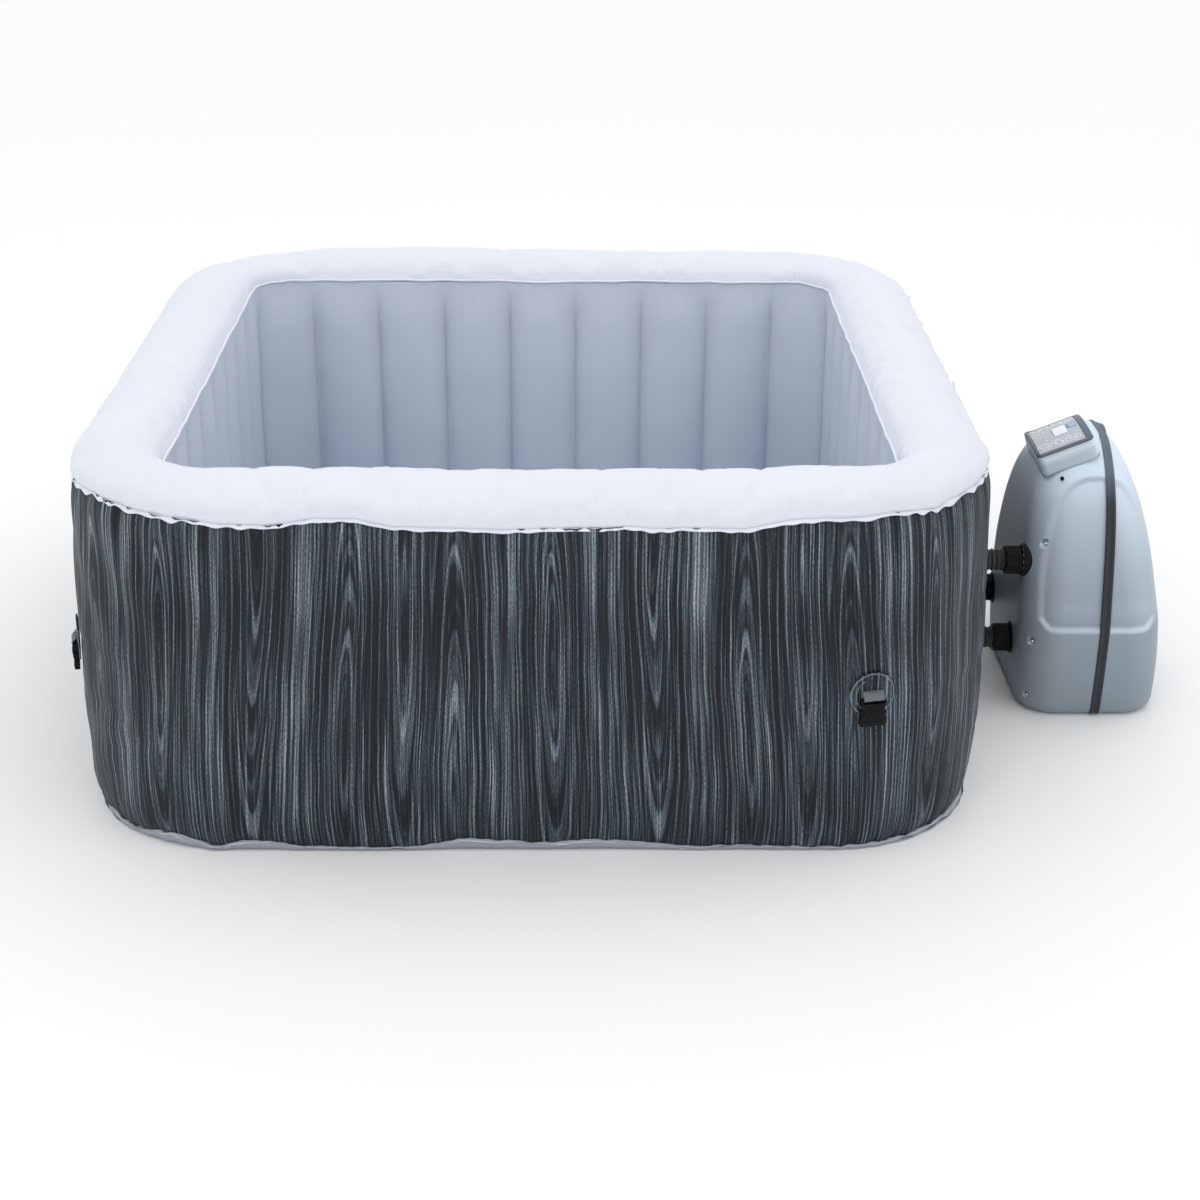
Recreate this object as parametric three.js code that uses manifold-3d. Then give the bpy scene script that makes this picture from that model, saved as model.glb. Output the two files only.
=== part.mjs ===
// Square inflatable hot tub with its free-standing heater and blower unit.
// Units: millimetres, +Z up. Origin: centre of the tub's footprint on the ground.
// +X points from the tub to the heater unit; -Y is the side with the front buckle.
import * as THREE from "three";
import { mergeVertices } from "three/addons/utils/BufferGeometryUtils.js";
import Module from "manifold-3d";

const wasm = await Module();
wasm.setup();

// ---- driving dimensions: tub ----
const OUT_A = 770; // half width of the outer wall
const OUT_R = 285; // its corner radius in plan
const IN_A = 622; // half width at the creases of the inner wall
const IN_R = 100; // its corner radius in plan
const SEAM_Z = 588; // weld between outer wall and top rim
const IN_SEAM_Z = 600; // weld between inner wall and top rim
const CROWN_Z = 645; // top of the inflated rim
const SHEET = 1.6; // sheet thickness
const FLUTES = 34; // upright air cells in the inner wall
const FLUTE_D = 15; // how far a cell swells towards the water
// ---- driving dimensions: water and air ports, [y, z] ----
const PORT_OUT = [-190, 290]; // heated water back to the tub
const PORT_IN = [-150, 112]; // water to the filter pump
const PORT_AIR = [45, 132]; // air for the bubble ring
const HOSE_R = 21;
const NUT_R = 26;
// ---- driving dimensions: heater unit ----
const SPLIT_X = 1055; // parting plane of its two shells
const SHELL_T = 3;
const PANEL = { x: 969, y: -106, z: 505, tilt: 22, w: 102, l: 132, t: 9, deep: 24 };
const KEY_ROW = 44.5; // key rows, either side of the panel's middle
// z, x0, x1, y0, y1, corner radius of the casing's outline at that height
const CASE = [
  [0, 926, 1162, -252, 102, 60],
  [18, 914, 1176, -266, 116, 68],
  [80, 908, 1178, -272, 122, 74],
  [172, 905, 1172, -276, 126, 76],
  [240, 905, 1161, -266, 116, 76],
  [320, 909, 1146, -250, 100, 76],
  [400, 919, 1124, -226, 76, 76],
  [445, 932, 1106, -203, 53, 72],
  [478, 953, 1088, -176, 26, 62],
  [500, 978, 1072, -146, -4, 45],
  [512, 1002, 1058, -118, -32, 27],
];

const root = new THREE.Group();
const mats = {
  wood_print: [0x3a4148, 0.55, 0],
  rim_white: [0xeef0f8, 0.45, 0],
  liner_grey: [0xaab6c4, 0.45, 0],
  base_grey: [0x9a9ca6, 0.6, 0],
  web_grey: [0xb4bac0, 0.7, 0],
  black_plastic: [0x15171a, 0.45, 0],
  hose_black: [0x1d2026, 0.5, 0],
  shell_grey: [0xb4c0cb, 0.4, 0],
  strip_dark: [0x3b4247, 0.5, 0],
  bezel_dark: [0x555d68, 0.4, 0],
  overlay_grey: [0xb2b5bf, 0.3, 0],
  display_white: [0xf2f4fa, 0.2, 0],
  button_white: [0xd8d9e2, 0.35, 0],
  white_plastic: [0xe6e9ec, 0.4, 0],
  filter_paper: [0xf0f2f0, 0.8, 0],
  steel: [0xb8bcc0, 0.3, 0.9],
  motor_dark: [0x33363a, 0.5, 0.2],
  foam: [0x7c8894, 0.9, 0],
};
function material(k) {
  const [color, roughness, metalness] = mats[k];
  return new THREE.MeshStandardMaterial({ color, roughness, metalness });
}
function toM(g) {
  let h = g.index ? g.toNonIndexed() : g.clone();
  const bare = new THREE.BufferGeometry().setAttribute(
    "position",
    h.getAttribute("position"),
  );
  const m = mergeVertices(bare, 1e-3);
  return new wasm.Manifold(
    new wasm.Mesh({
      numProp: 3,
      vertProperties: m.attributes.position.array,
      triVerts: new Uint32Array(m.index.array),
    }),
  );
}
function toG(man) {
  const m = man.getMesh();
  const v = new Float32Array(m.numVert * 3);
  for (let i = 0; i < m.numVert; i++)
    v.set(m.vertProperties.subarray(i * m.numProp, i * m.numProp + 3), i * 3);
  const g = new THREE.BufferGeometry()
    .setAttribute("position", new THREE.BufferAttribute(v, 3))
    .setIndex(new THREE.BufferAttribute(m.triVerts, 1));
  g.computeVertexNormals();
  return g;
}
function facing(verts, tris) {
  let vol = 0;
  for (let i = 0; i < tris.length; i += 3) {
    const [a, b, c] = [verts[tris[i]], verts[tris[i + 1]], verts[tris[i + 2]]];
    vol +=
      a[0] * (b[1] * c[2] - b[2] * c[1]) -
      a[1] * (b[0] * c[2] - b[2] * c[0]) +
      a[2] * (b[0] * c[1] - b[1] * c[0]);
  }
  if (vol < 0)
    for (let i = 0; i < tris.length; i += 3)
      [tris[i + 1], tris[i + 2]] = [tris[i + 2], tris[i + 1]];
  const g = new THREE.BufferGeometry();
  g.setAttribute(
    "position",
    new THREE.BufferAttribute(new Float32Array(verts.flat()), 3),
  );
  g.setIndex(tris);
  g.computeVertexNormals();
  return g;
}
// A closed section carried round a closed loop: rows[i][k] is a point.
function ringSolid(rows) {
  const n = rows.length,
    k = rows[0].length,
    tris = [];
  for (let i = 0; i < n; i++)
    for (let j = 0; j < k; j++) {
      const a = i * k + j,
        b = i * k + ((j + 1) % k),
        c = ((i + 1) % n) * k + j,
        d = ((i + 1) % n) * k + ((j + 1) % k);
      tris.push(a, b, d, a, d, c);
    }
  return facing(rows.flat(), tris);
}
// Stacked outlines closed by flat caps.
function stackSolid(rows) {
  const n = rows.length,
    k = rows[0].length,
    verts = rows.flat(),
    tris = [];
  for (let i = 0; i < n - 1; i++)
    for (let j = 0; j < k; j++) {
      const a = i * k + j,
        b = i * k + ((j + 1) % k);
      tris.push(a, b, b + k, a, b + k, a + k);
    }
  for (let j = 1; j < k - 1; j++) {
    tris.push(0, j + 1, j);
    const o = (n - 1) * k;
    tris.push(o, o + j, o + j + 1);
  }
  return facing(verts, tris);
}
// Rounded-square outline, anticlockwise from +X: [x, y, nx, ny].
function square(a, r, nc, ns) {
  const pts = [];
  const cs = [
    [1, 1, 0],
    [-1, 1, 90],
    [-1, -1, 180],
    [1, -1, 270],
  ];
  cs.forEach(([sx, sy, t0], q) => {
    for (let i = 0; i <= nc; i++) {
      const t = ((t0 + (90 * i) / nc) * Math.PI) / 180;
      pts.push([
        sx * (a - r) + r * Math.cos(t),
        sy * (a - r) + r * Math.sin(t),
        Math.cos(t),
        Math.sin(t),
      ]);
    }
    const p = pts[pts.length - 1];
    const [ex, ey] = [cs[(q + 1) % 4][0] * (a - r), cs[(q + 1) % 4][1] * (a - r)];
    const end = [ex + r * p[2], ey + r * p[3]];
    for (let i = 1; i < ns; i++)
      pts.push([
        p[0] + ((end[0] - p[0]) * i) / ns,
        p[1] + ((end[1] - p[1]) * i) / ns,
        p[2],
        p[3],
      ]);
  });
  return pts;
}
// Point of a rounded square at share u (0..1) of its length, from the middle of +Y.
function along(a, r, u) {
  const L = 2 * (a - r),
    q = (Math.PI / 2) * r,
    T = 4 * (L + q);
  let s = ((((u % 1) + 1) % 1) * T + 0) % T;
  let ang = 90;
  s += L / 2;
  for (let i = 0; i < 5; i++) {
    const t = (ang * Math.PI) / 180,
      n = [Math.cos(t), Math.sin(t)],
      d = [-n[1], n[0]];
    if (s <= L)
      return [
        n[0] * a + d[0] * (s - L / 2),
        n[1] * a + d[1] * (s - L / 2),
        n[0],
        n[1],
      ];
    s -= L;
    if (s <= q) {
      const c = [
          n[0] * (a - r) + d[0] * (a - r),
          n[1] * (a - r) + d[1] * (a - r),
        ],
        tt = t + s / r;
      return [
        c[0] + r * Math.cos(tt),
        c[1] + r * Math.sin(tt),
        Math.cos(tt),
        Math.sin(tt),
      ];
    }
    s -= q;
    ang += 90;
  }
}
function add(name, geometry, mat, parent = root) {
  const m = new THREE.Mesh(geometry, material(mat));
  m.name = name;
  parent.add(m);
  return m;
}
// Turned piece along X at [y, z]; profile is a closed list of [x, r].
function turnedX(profile, y, z, seg = 20) {
  const closed = [...profile, profile[0]];
  const g = new THREE.LatheGeometry(
    closed.map(([x, r]) => new THREE.Vector2(r, x)),
    seg,
  );
  g.rotateZ(-Math.PI / 2);
  g.translate(0, y, z);
  return fixed(g);
}
function fixed(g) {
  const bare = new THREE.BufferGeometry().setAttribute(
    "position",
    (g.index ? g.toNonIndexed() : g).getAttribute("position"),
  );
  const m = mergeVertices(bare, 1e-3);
  const p = m.attributes.position,
    verts = [];
  for (let i = 0; i < p.count; i++) verts.push([p.getX(i), p.getY(i), p.getZ(i)]);
  const tris = [];
  const ix = m.index.array;
  for (let i = 0; i < ix.length; i += 3)
    if (ix[i] !== ix[i + 1] && ix[i + 1] !== ix[i + 2] && ix[i] !== ix[i + 2])
      tris.push(ix[i], ix[i + 1], ix[i + 2]);
  return facing(verts, tris);
}
function cylX(x0, x1, r, y, z, seg = 20) {
  return turnedX(
    [
      [x0, 0],
      [x0, r],
      [x1, r],
      [x1, 0],
    ],
    y,
    z,
    seg,
  );
}
function tubeX(x0, x1, r, ri, y, z, seg = 20) {
  return turnedX(
    [
      [x0, ri],
      [x0, r],
      [x1, r],
      [x1, ri],
    ],
    y,
    z,
    seg,
  );
}
function box(x0, x1, y0, y1, z0, z1) {
  const g = new THREE.BoxGeometry(x1 - x0, y1 - y0, z1 - z0);
  g.translate((x0 + x1) / 2, (y0 + y1) / 2, (z0 + z1) / 2);
  return g;
}
const cut = (g, ...tools) =>
  toG(tools.reduce((m, t) => m.subtract(toM(t)), toM(g)));
const join = (...gs) => toG(gs.map(toM).reduce((a, b) => a.add(b)));

// ---- tub walls ----
const NC = 5,
  NS = 2;
const outer = square(OUT_A, OUT_R, NC, NS);
const inner = square(IN_A - 12, IN_R - 12, NC, NS);
const off = ([x, y, nx, ny], d, z) => [x + nx * d, y + ny * d, z];

const WALL = [
  [-9, 8],
  [0, 60],
  [6, 200],
  [8, 330],
  [5, 460],
  [-2, 584],
];
const ports = [PORT_OUT, PORT_IN, PORT_AIR];
let outerWall = ringSolid(
  outer.map((p) => [
    ...WALL.map(([d, z]) => off(p, d, z)),
    ...[...WALL].reverse().map(([d, z]) => off(p, d - SHEET, z)),
  ]),
);
outerWall = cut(outerWall, ...ports.map(([y, z]) => cylX(740, 800, 19, y, z, 16)));
add("outer_wall", outerWall, "wood_print");

// The rim skin: an arch from the outer weld to the inner weld.
const ARCH = 6;
add(
  "top_rim",
  ringSolid(
    outer.map((p, i) => {
      const q = inner[i],
        row = [],
        back = [];
      for (let k = 0; k <= ARCH; k++) {
        const t = Math.PI * (k / ARCH),
          w = (1 - Math.cos(t)) / 2;
        const z0 = SEAM_Z + (IN_SEAM_Z - SEAM_Z) * w;
        const h = CROWN_Z - 594;
        const P = (e) => {
          const u = 0.5 - (0.5 - e / 160) * Math.cos(t);
          return [
            p[0] + (q[0] - p[0]) * u,
            p[1] + (q[1] - p[1]) * u,
            z0 + (h - e) * Math.sin(t),
          ];
        };
        row.push(P(0));
        back.unshift(P(SHEET));
      }
      return [...row, ...back];
    }),
  ),
  "rim_white",
);

// The inner wall: upright cells that swell towards the water between welded creases.
const COLS = FLUTES * 2;
const fluteAt = (u) => Math.pow(Math.abs(Math.sin(Math.PI * FLUTES * (u + 0.5 / FLUTES))), 0.7);
const LEVELS = [
  [13, 0.9, 4],
  [54, 1, 0],
  [540, 1, 0],
  [598, 0.9, 4],
];
let innerWall = ringSolid(
  Array.from({ length: COLS }, (_, i) => {
    const u = i / COLS + 0.5 / FLUTES,
      p = along(IN_A, IN_R, u);
    const f = fluteAt(u);
    const d = LEVELS.map(([z, k, m]) => [-Math.max(f * FLUTE_D * k, m), z]);
    return [
      ...d.map(([e, z]) => off(p, e, z)),
      ...[...d].reverse().map(([e, z]) => off(p, e + SHEET, z)),
    ];
  }),
);
innerWall = cut(innerWall, ...ports.map(([y, z]) => cylX(580, 660, 19, y, z, 16)));
add("inner_wall", innerWall, "liner_grey");

// Tension webs hold the two walls a fixed distance apart; a backing band carries them.
{
  const band = ringSolid(
    outer.map((p) => [
      off(p, -13, 60),
      off(p, -13, 545),
      off(p, -14.2, 545),
      off(p, -14.2, 60),
    ]),
  );
  let m = toM(band);
  for (let i = 0; i < FLUTES; i++) {
    const u = (i + 0.5) / FLUTES;
    const p = along(IN_A, IN_R, u),
      q = along(OUT_A - 14, OUT_R - 14, u);
    const a = [p[0] + p[2] * 5, p[1] + p[3] * 5],
      dx = q[0] - a[0],
      dy = q[1] - a[1],
      L = Math.hypot(dx, dy);
    const g = new THREE.BoxGeometry(L, 1.2, 440);
    g.rotateZ(Math.atan2(dy, dx));
    g.translate(a[0] + dx / 2, a[1] + dy / 2, 305);
    m = m.add(toM(g));
  }
  for (const [y, z] of ports) m = m.subtract(toM(cylX(600, 780, 26, y, z, 12)));
  add("tension_webs", toG(m), "web_grey");
}

// ---- tub floor ----
const slab = (a, r, z0, z1, nc = 6, ns = 1) =>
  stackSolid([z0, z1].map((z) => square(a, r, nc, ns).map(([x, y]) => [x, y, z])));
add("ground_sheet", slab(758, 272, 0, 2), "base_grey");
add("floor_pad", slab(606, 96, 2.4, 9), "foam");
add("liner_floor", slab(612, 98, 9.5, 11), "liner_grey");
add(
  "bubble_ring",
  ringSolid(
    square(584, 70, 5, 1).map((p) => [
      off(p, 10, 12),
      off(p, 10, 28),
      off(p, 4, 34),
      off(p, -4, 34),
      off(p, -10, 28),
      off(p, -10, 12),
    ]),
  ),
  "liner_grey",
);

// ---- buckles for the cover straps: a welded round patch with a webbing tab, and a buckle that hangs from it ----
const BUCKLE = { s: 549, z: 297, r: 39 };
["front", "right", "rear", "left"].forEach((side, k) => {
  const turn = new THREE.Group();
  turn.rotation.z = (k * Math.PI) / 2;
  root.add(turn);
  // it sits where the corner's curve starts, so it turns with the wall
  const t = Math.asin((BUCKLE.s - (OUT_A - OUT_R)) / OUT_R),
    rr = OUT_R + 8.6;
  const g = new THREE.Group();
  g.position.set(
    OUT_A - OUT_R + rr * Math.sin(t),
    -(OUT_A - OUT_R) - rr * Math.cos(t),
    BUCKLE.z,
  );
  g.rotation.z = t;
  turn.add(g);
  const plate = new THREE.CylinderGeometry(BUCKLE.r, BUCKLE.r, 1.6, 24);
  plate.translate(0, -0.8, 0);
  const tab = box(-17, 17, -5.2, -1, 0, 12);
  add("buckle_patch_" + side, join(plate, tab), "wood_print", g);
  const shape = new THREE.Shape();
  [
    [-21, 0], [21, 0], [21, -15], [15, -22], [15, -28], [23, -34], [23, -47],
    [-23, -47], [-23, -34], [-15, -28], [-15, -22], [-21, -15],
  ].forEach(([x, z], i) => (i ? shape.lineTo(x, z) : shape.moveTo(x, z)));
  shape.closePath();
  const slot = new THREE.Path();
  [[-18, -3], [-18, -8], [18, -8], [18, -3]].forEach(([x, z], i) =>
    i ? slot.lineTo(x, z) : slot.moveTo(x, z),
  );
  slot.closePath();
  shape.holes.push(slot);
  const body = new THREE.ExtrudeGeometry(shape, { depth: 9, bevelEnabled: false });
  body.rotateX(Math.PI / 2);
  body.translate(0, -2.4, -5);
  add("buckle_" + side, fixed(body), "black_plastic", g);
});

// ---- valves of the air chamber and the drain ----
function valve(prefix, y, z, r) {
  const g = new THREE.Group();
  root.add(g);
  const body = turnedX(
    [
      [-782, 0], [-782, r], [-779.5, r], [-779.5, r * 0.55], [-764, r * 0.55], [-764, 0],
    ],
    y, z, 20,
  );
  add(prefix + "_body", body, "black_plastic", g);
  const cap = turnedX(
    [
      [-793, 0], [-793, r * 0.6], [-791, r * 0.72], [-782.6, r * 0.72], [-782.6, 0],
    ],
    y, z, 14,
  );
  const bar = box(-798, -792, y - r * 0.5, y + r * 0.5, z - 2.5, z + 2.5);
  add(prefix + "_cap", join(cap, bar), "black_plastic", g);
}
{
  const w = root.getObjectByName("outer_wall");
  w.geometry = cut(
    w.geometry,
    cylX(-800, -740, 14.5, 180, 440, 16),
    cylX(-800, -740, 14.5, 260, 70, 16),
  );
}
valve("air_valve", 180, 440, 24);
valve("drain_valve", 260, 70, 24);

// ---- ports through the wall, hoses and union nuts ----
function port(name, [y, z]) {
  add(
    name + "_fitting",
    turnedX(
      [
        [588, 14], [588, 17.5], [784, 17.5], [784, 31], [788, 31], [788, 17.5], [806, 17.5], [806, 14],
      ],
      y, z, 14,
    ),
    "black_plastic",
  );
  const prof = [[789, 18.3]];
  const n = 7,
    x0 = 790,
    x1 = 868;
  for (let i = 0; i < n; i++) {
    const a = x0 + ((x1 - x0) * i) / n,
      p = (x1 - x0) / n;
    prof.push([a + 0.3 * p, HOSE_R], [a + 0.8 * p, HOSE_R - 1.8]);
  }
  prof.push([876, HOSE_R - 1.8], [886, HOSE_R - 1.8], [886, 18.3]);
  add(name + "_hose", turnedX(prof, y, z, 12), "hose_black");
  let nut = toM(tubeX(872, 903, NUT_R, 20, y, z, 16));
  for (let i = 0; i < 8; i++) {
    const g = box(876, 900, NUT_R - 1, NUT_R + 2.2, -3, 3);
    g.rotateX((i * Math.PI) / 4);
    g.translate(0, y, z);
    nut = nut.add(toM(g));
  }
  add(name + "_nut", toG(nut), "hose_black");
}
port("outlet", PORT_OUT);
port("inlet", PORT_IN);
port("air", PORT_AIR);
// A spigot of the heater unit that a union nut closes on.
const spigot = ([y, z], x1) =>
  turnedX(
    [
      [886.6, 14], [886.6, 18.5], [904, 18.5], [904, 30], [908, 30], [908, 18.5], [x1, 18.5], [x1, 14],
    ],
    y, z, 14,
  );

// ---- filter, return grille and air duct on the water side ----
{
  const [y, z] = PORT_IN;
  add(
    "filter_housing",
    turnedX(
      [
        [601, 18.2], [601, 54], [520, 54], [520, 51], [597, 51], [597, 18.2],
      ],
      y, z, 24,
    ),
    "white_plastic",
  );
  const rows = [];
  const P = 20;
  const cart = [];
  for (let i = 0; i < P * 2; i++) {
    const r = i % 2 ? 46 : 40,
      t = (i * Math.PI) / P;
    cart.push([r, t]);
  }
  const sec = cart.map(([r, t]) => [
    [522, y + r * Math.cos(t), z + r * Math.sin(t)],
    [584, y + r * Math.cos(t), z + r * Math.sin(t)],
    [584, y + 22 * Math.cos(t), z + 22 * Math.sin(t)],
    [522, y + 22 * Math.cos(t), z + 22 * Math.sin(t)],
  ]);
  add("filter_cartridge", ringSolid(sec), "filter_paper");
  let cap = toM(cylX(508, 519, 57, y, z, 24));
  cap = cap.subtract(toM(cylX(514, 530, 50.4, y, z, 24)));
  for (let i = 0; i < 8; i++) {
    const s = box(500, 520, 18, 42, -4, 4);
    s.rotateX((i * Math.PI) / 4);
    s.translate(0, y, z);
    cap = cap.subtract(toM(s));
  }
  cap = cap.add(toM(box(500, 509, y - 5, y + 5, z - 16, z + 16)));
  add("filter_cap", toG(cap), "white_plastic");
}
{
  const [y, z] = PORT_OUT;
  let g = toM(
    turnedX([[601, 18.2], [601, 34], [590, 34], [580, 26], [580, 0], [583, 0], [584, 18.2]], y, z, 20),
  );
  for (let i = -2; i <= 2; i++)
    g = g.subtract(toM(box(570, 583.5, y - 15, y + 15, z + i * 7 - 1.8, z + i * 7 + 1.8)));
  add("return_grille", toG(g), "white_plastic");
}
{
  const [y, z] = PORT_AIR;
  const duct = toM(box(578, 601, y - 24, y + 24, 35, z + 24))
    .subtract(toM(cylX(586, 610, 18.2, y, z, 18)))
    .subtract(toM(box(582, 597, y - 14, y + 14, 30, z + 4)));
  add("air_duct", toG(duct), "liner_grey");
}

// ---- casing of the heater unit ----
function outline(x0, x1, y0, y1, r, z, nc = 5) {
  const pts = [];
  [
    [x1 - r, y1 - r, 0],
    [x0 + r, y1 - r, 90],
    [x0 + r, y0 + r, 180],
    [x1 - r, y0 + r, 270],
  ].forEach(([cx, cy, t0]) => {
    for (let i = 0; i <= nc; i++) {
      const t = ((t0 + (90 * i) / nc) * Math.PI) / 180;
      pts.push([cx + r * Math.cos(t), cy + r * Math.sin(t), z]);
    }
  });
  return pts;
}
// The casing's form grown by e, from z = bottom up.
function caseForm(e, bottom) {
  const rows = CASE.map(([z, x0, x1, y0, y1, r]) =>
    outline(x0 - e, x1 + e, y0 - e, y1 + e, Math.max(r + e, 6), z + (z > 440 ? e * ((z - 440) / 72) : 0)),
  );
  if (bottom !== 0) {
    const [, x0, x1, y0, y1, r] = CASE[0];
    rows.unshift(outline(x0 - e, x1 + e, y0 - e, y1 + e, Math.max(r + e, 6), bottom));
  }
  return toM(stackSolid(rows));
}
const form = caseForm(0, 0);
const hollow = form.subtract(caseForm(-SHELL_T, -20));
const SCREWS = [
  [-226, 338, 937],
  [-250, 150, 925.5],
  [-240, 34, 927.5],
  [76, 338, 937],
];
{
  let a = hollow.intersect(toM(box(800, SPLIT_X - 0.3, -400, 300, -1, 600)));
  for (const [y, z] of ports) a = a.subtract(toM(cylX(880, 960, 31, y, z, 20)));
  for (const [y, z] of SCREWS) a = a.subtract(toM(cylX(880, 960, 4.5, y, z, 10)));
  const pan = box(-PANEL.w / 2 + 14, PANEL.w / 2 - 14, -PANEL.l / 2 + 14, PANEL.l / 2 - 14, -60, 30);
  pan.rotateY((-PANEL.tilt * Math.PI) / 180);
  pan.translate(PANEL.x, PANEL.y, PANEL.z);
  const big = box(-PANEL.w / 2 - 0.4, PANEL.w / 2 + 0.4, -PANEL.l / 2 - 0.4, PANEL.l / 2 + 0.4, -PANEL.deep - 0.4, 60);
  big.rotateY((-PANEL.tilt * Math.PI) / 180);
  big.translate(PANEL.x, PANEL.y, PANEL.z);
  a = a.subtract(toM(pan)).subtract(toM(big));
  a = a.decompose().sort((p, q) => q.volume() - p.volume())[0];
  add("tub_side_shell", toG(a), "shell_grey");
  let b = hollow.intersect(toM(box(SPLIT_X + 0.3, 1300, -400, 300, -1, 600)));
  b = b.subtract(toM(big));
  const cordHole = new THREE.CylinderGeometry(6.5, 6.5, 60, 12);
  cordHole.translate(1100, 110, 40);
  b = b.subtract(toM(cordHole));
  b = b.decompose().sort((p, q) => q.volume() - p.volume())[0];
  add("outer_shell", toG(b), "shell_grey");
  const strip = caseForm(2.4, 0)
    .subtract(caseForm(0.4, -20))
    .intersect(toM(box(SPLIT_X - 11, SPLIT_X + 11, -400, 300, 1, 600)))
    .subtract(toM(big));
  add("seam_strip", toG(strip.decompose().sort((p, q) => q.volume() - p.volume())[0]), "strip_dark");
  const base = caseForm(-SHELL_T - 0.5, -20).intersect(toM(box(800, 1300, -400, 300, 0, 4)));
  add("base_plate", toG(base), "strip_dark");
}
SCREWS.forEach(([y, z, x], i) =>
  add(
    "case_screw_" + (i + 1),
    turnedX([[x, 0], [x, 3.6], [x + 3, 3.6], [x + 3, 1.9], [x + 26, 1.9], [x + 26, 0]], y, z, 10),
    "steel",
  ),
);

// ---- control panel, in its own tilted frame ----
{
  const g = new THREE.Group();
  g.position.set(PANEL.x, PANEL.y, PANEL.z);
  g.rotation.y = (-PANEL.tilt * Math.PI) / 180;
  root.add(g);
  const { w, l, t, deep } = PANEL;
  const rect = (a, b, r) => {
    const s = new THREE.Shape();
    s.moveTo(-a + r, -b);
    s.lineTo(a - r, -b);
    s.absarc(a - r, -b + r, r, -Math.PI / 2, 0);
    s.lineTo(a, b - r);
    s.absarc(a - r, b - r, r, 0, Math.PI / 2);
    s.lineTo(-a + r, b);
    s.absarc(-a + r, b - r, r, Math.PI / 2, Math.PI);
    s.lineTo(-a, -b + r);
    s.absarc(-a + r, -b + r, r, Math.PI, 1.5 * Math.PI);
    return s;
  };
  const ext = (s, d, z, cs = 2) => {
    const e = new THREE.ExtrudeGeometry(s, { depth: d, bevelEnabled: false, curveSegments: cs });
    e.translate(0, 0, z);
    return e;
  };
  const hull = ext(rect(w / 2, l / 2, 9), t + deep, -deep);
  const pocket = ext(rect(w / 2 - 6, l / 2 - 6, 5), 10, 3);
  const under = ext(rect(w / 2 - 9, l / 2 - 9, 4), deep - 2, -deep - 1);
  add("control_bezel", fixed(cut(hull, pocket, under)), "bezel_dark", g);
  const keys = [];
  for (const sy of [-1, 1]) for (const k of [-1, 0, 1]) keys.push([k * 27 - 3, sy * KEY_ROW]);
  const pill = (r) => {
    const s = new THREE.Shape();
    const h = 11.5 - 5.5;
    s.moveTo(-h, -r);
    s.lineTo(h, -r);
    s.absarc(h, 0, r, -Math.PI / 2, Math.PI / 2);
    s.lineTo(-h, r);
    s.absarc(-h, 0, r, Math.PI / 2, 1.5 * Math.PI);
    return s;
  };
  const at = (q, x, y) => q.translate(x, y, 0);
  const face = ext(rect(w / 2 - 6.5, l / 2 - 6.5, 4.5), 2, 6.6);
  add(
    "control_overlay",
    cut(
      face,
      ...keys.map(([x, y]) => at(ext(pill(6.1), 8, 4, 3), x, y)),
      at(ext(rect(14, 19, 1), 8, 4), 8, 0),
    ),
    "overlay_grey",
    g,
  );
  add("display_window", at(fixed(ext(rect(13.5, 18.5, 1), 3.4, 5.2)), 8, 0), "display_white", g);
  keys.forEach(([x, y], i) =>
    add("button_" + (i + 1), at(fixed(ext(pill(5.6), 3.6, 5.4, 3)), x, y), "button_white", g),
  );
}

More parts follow.
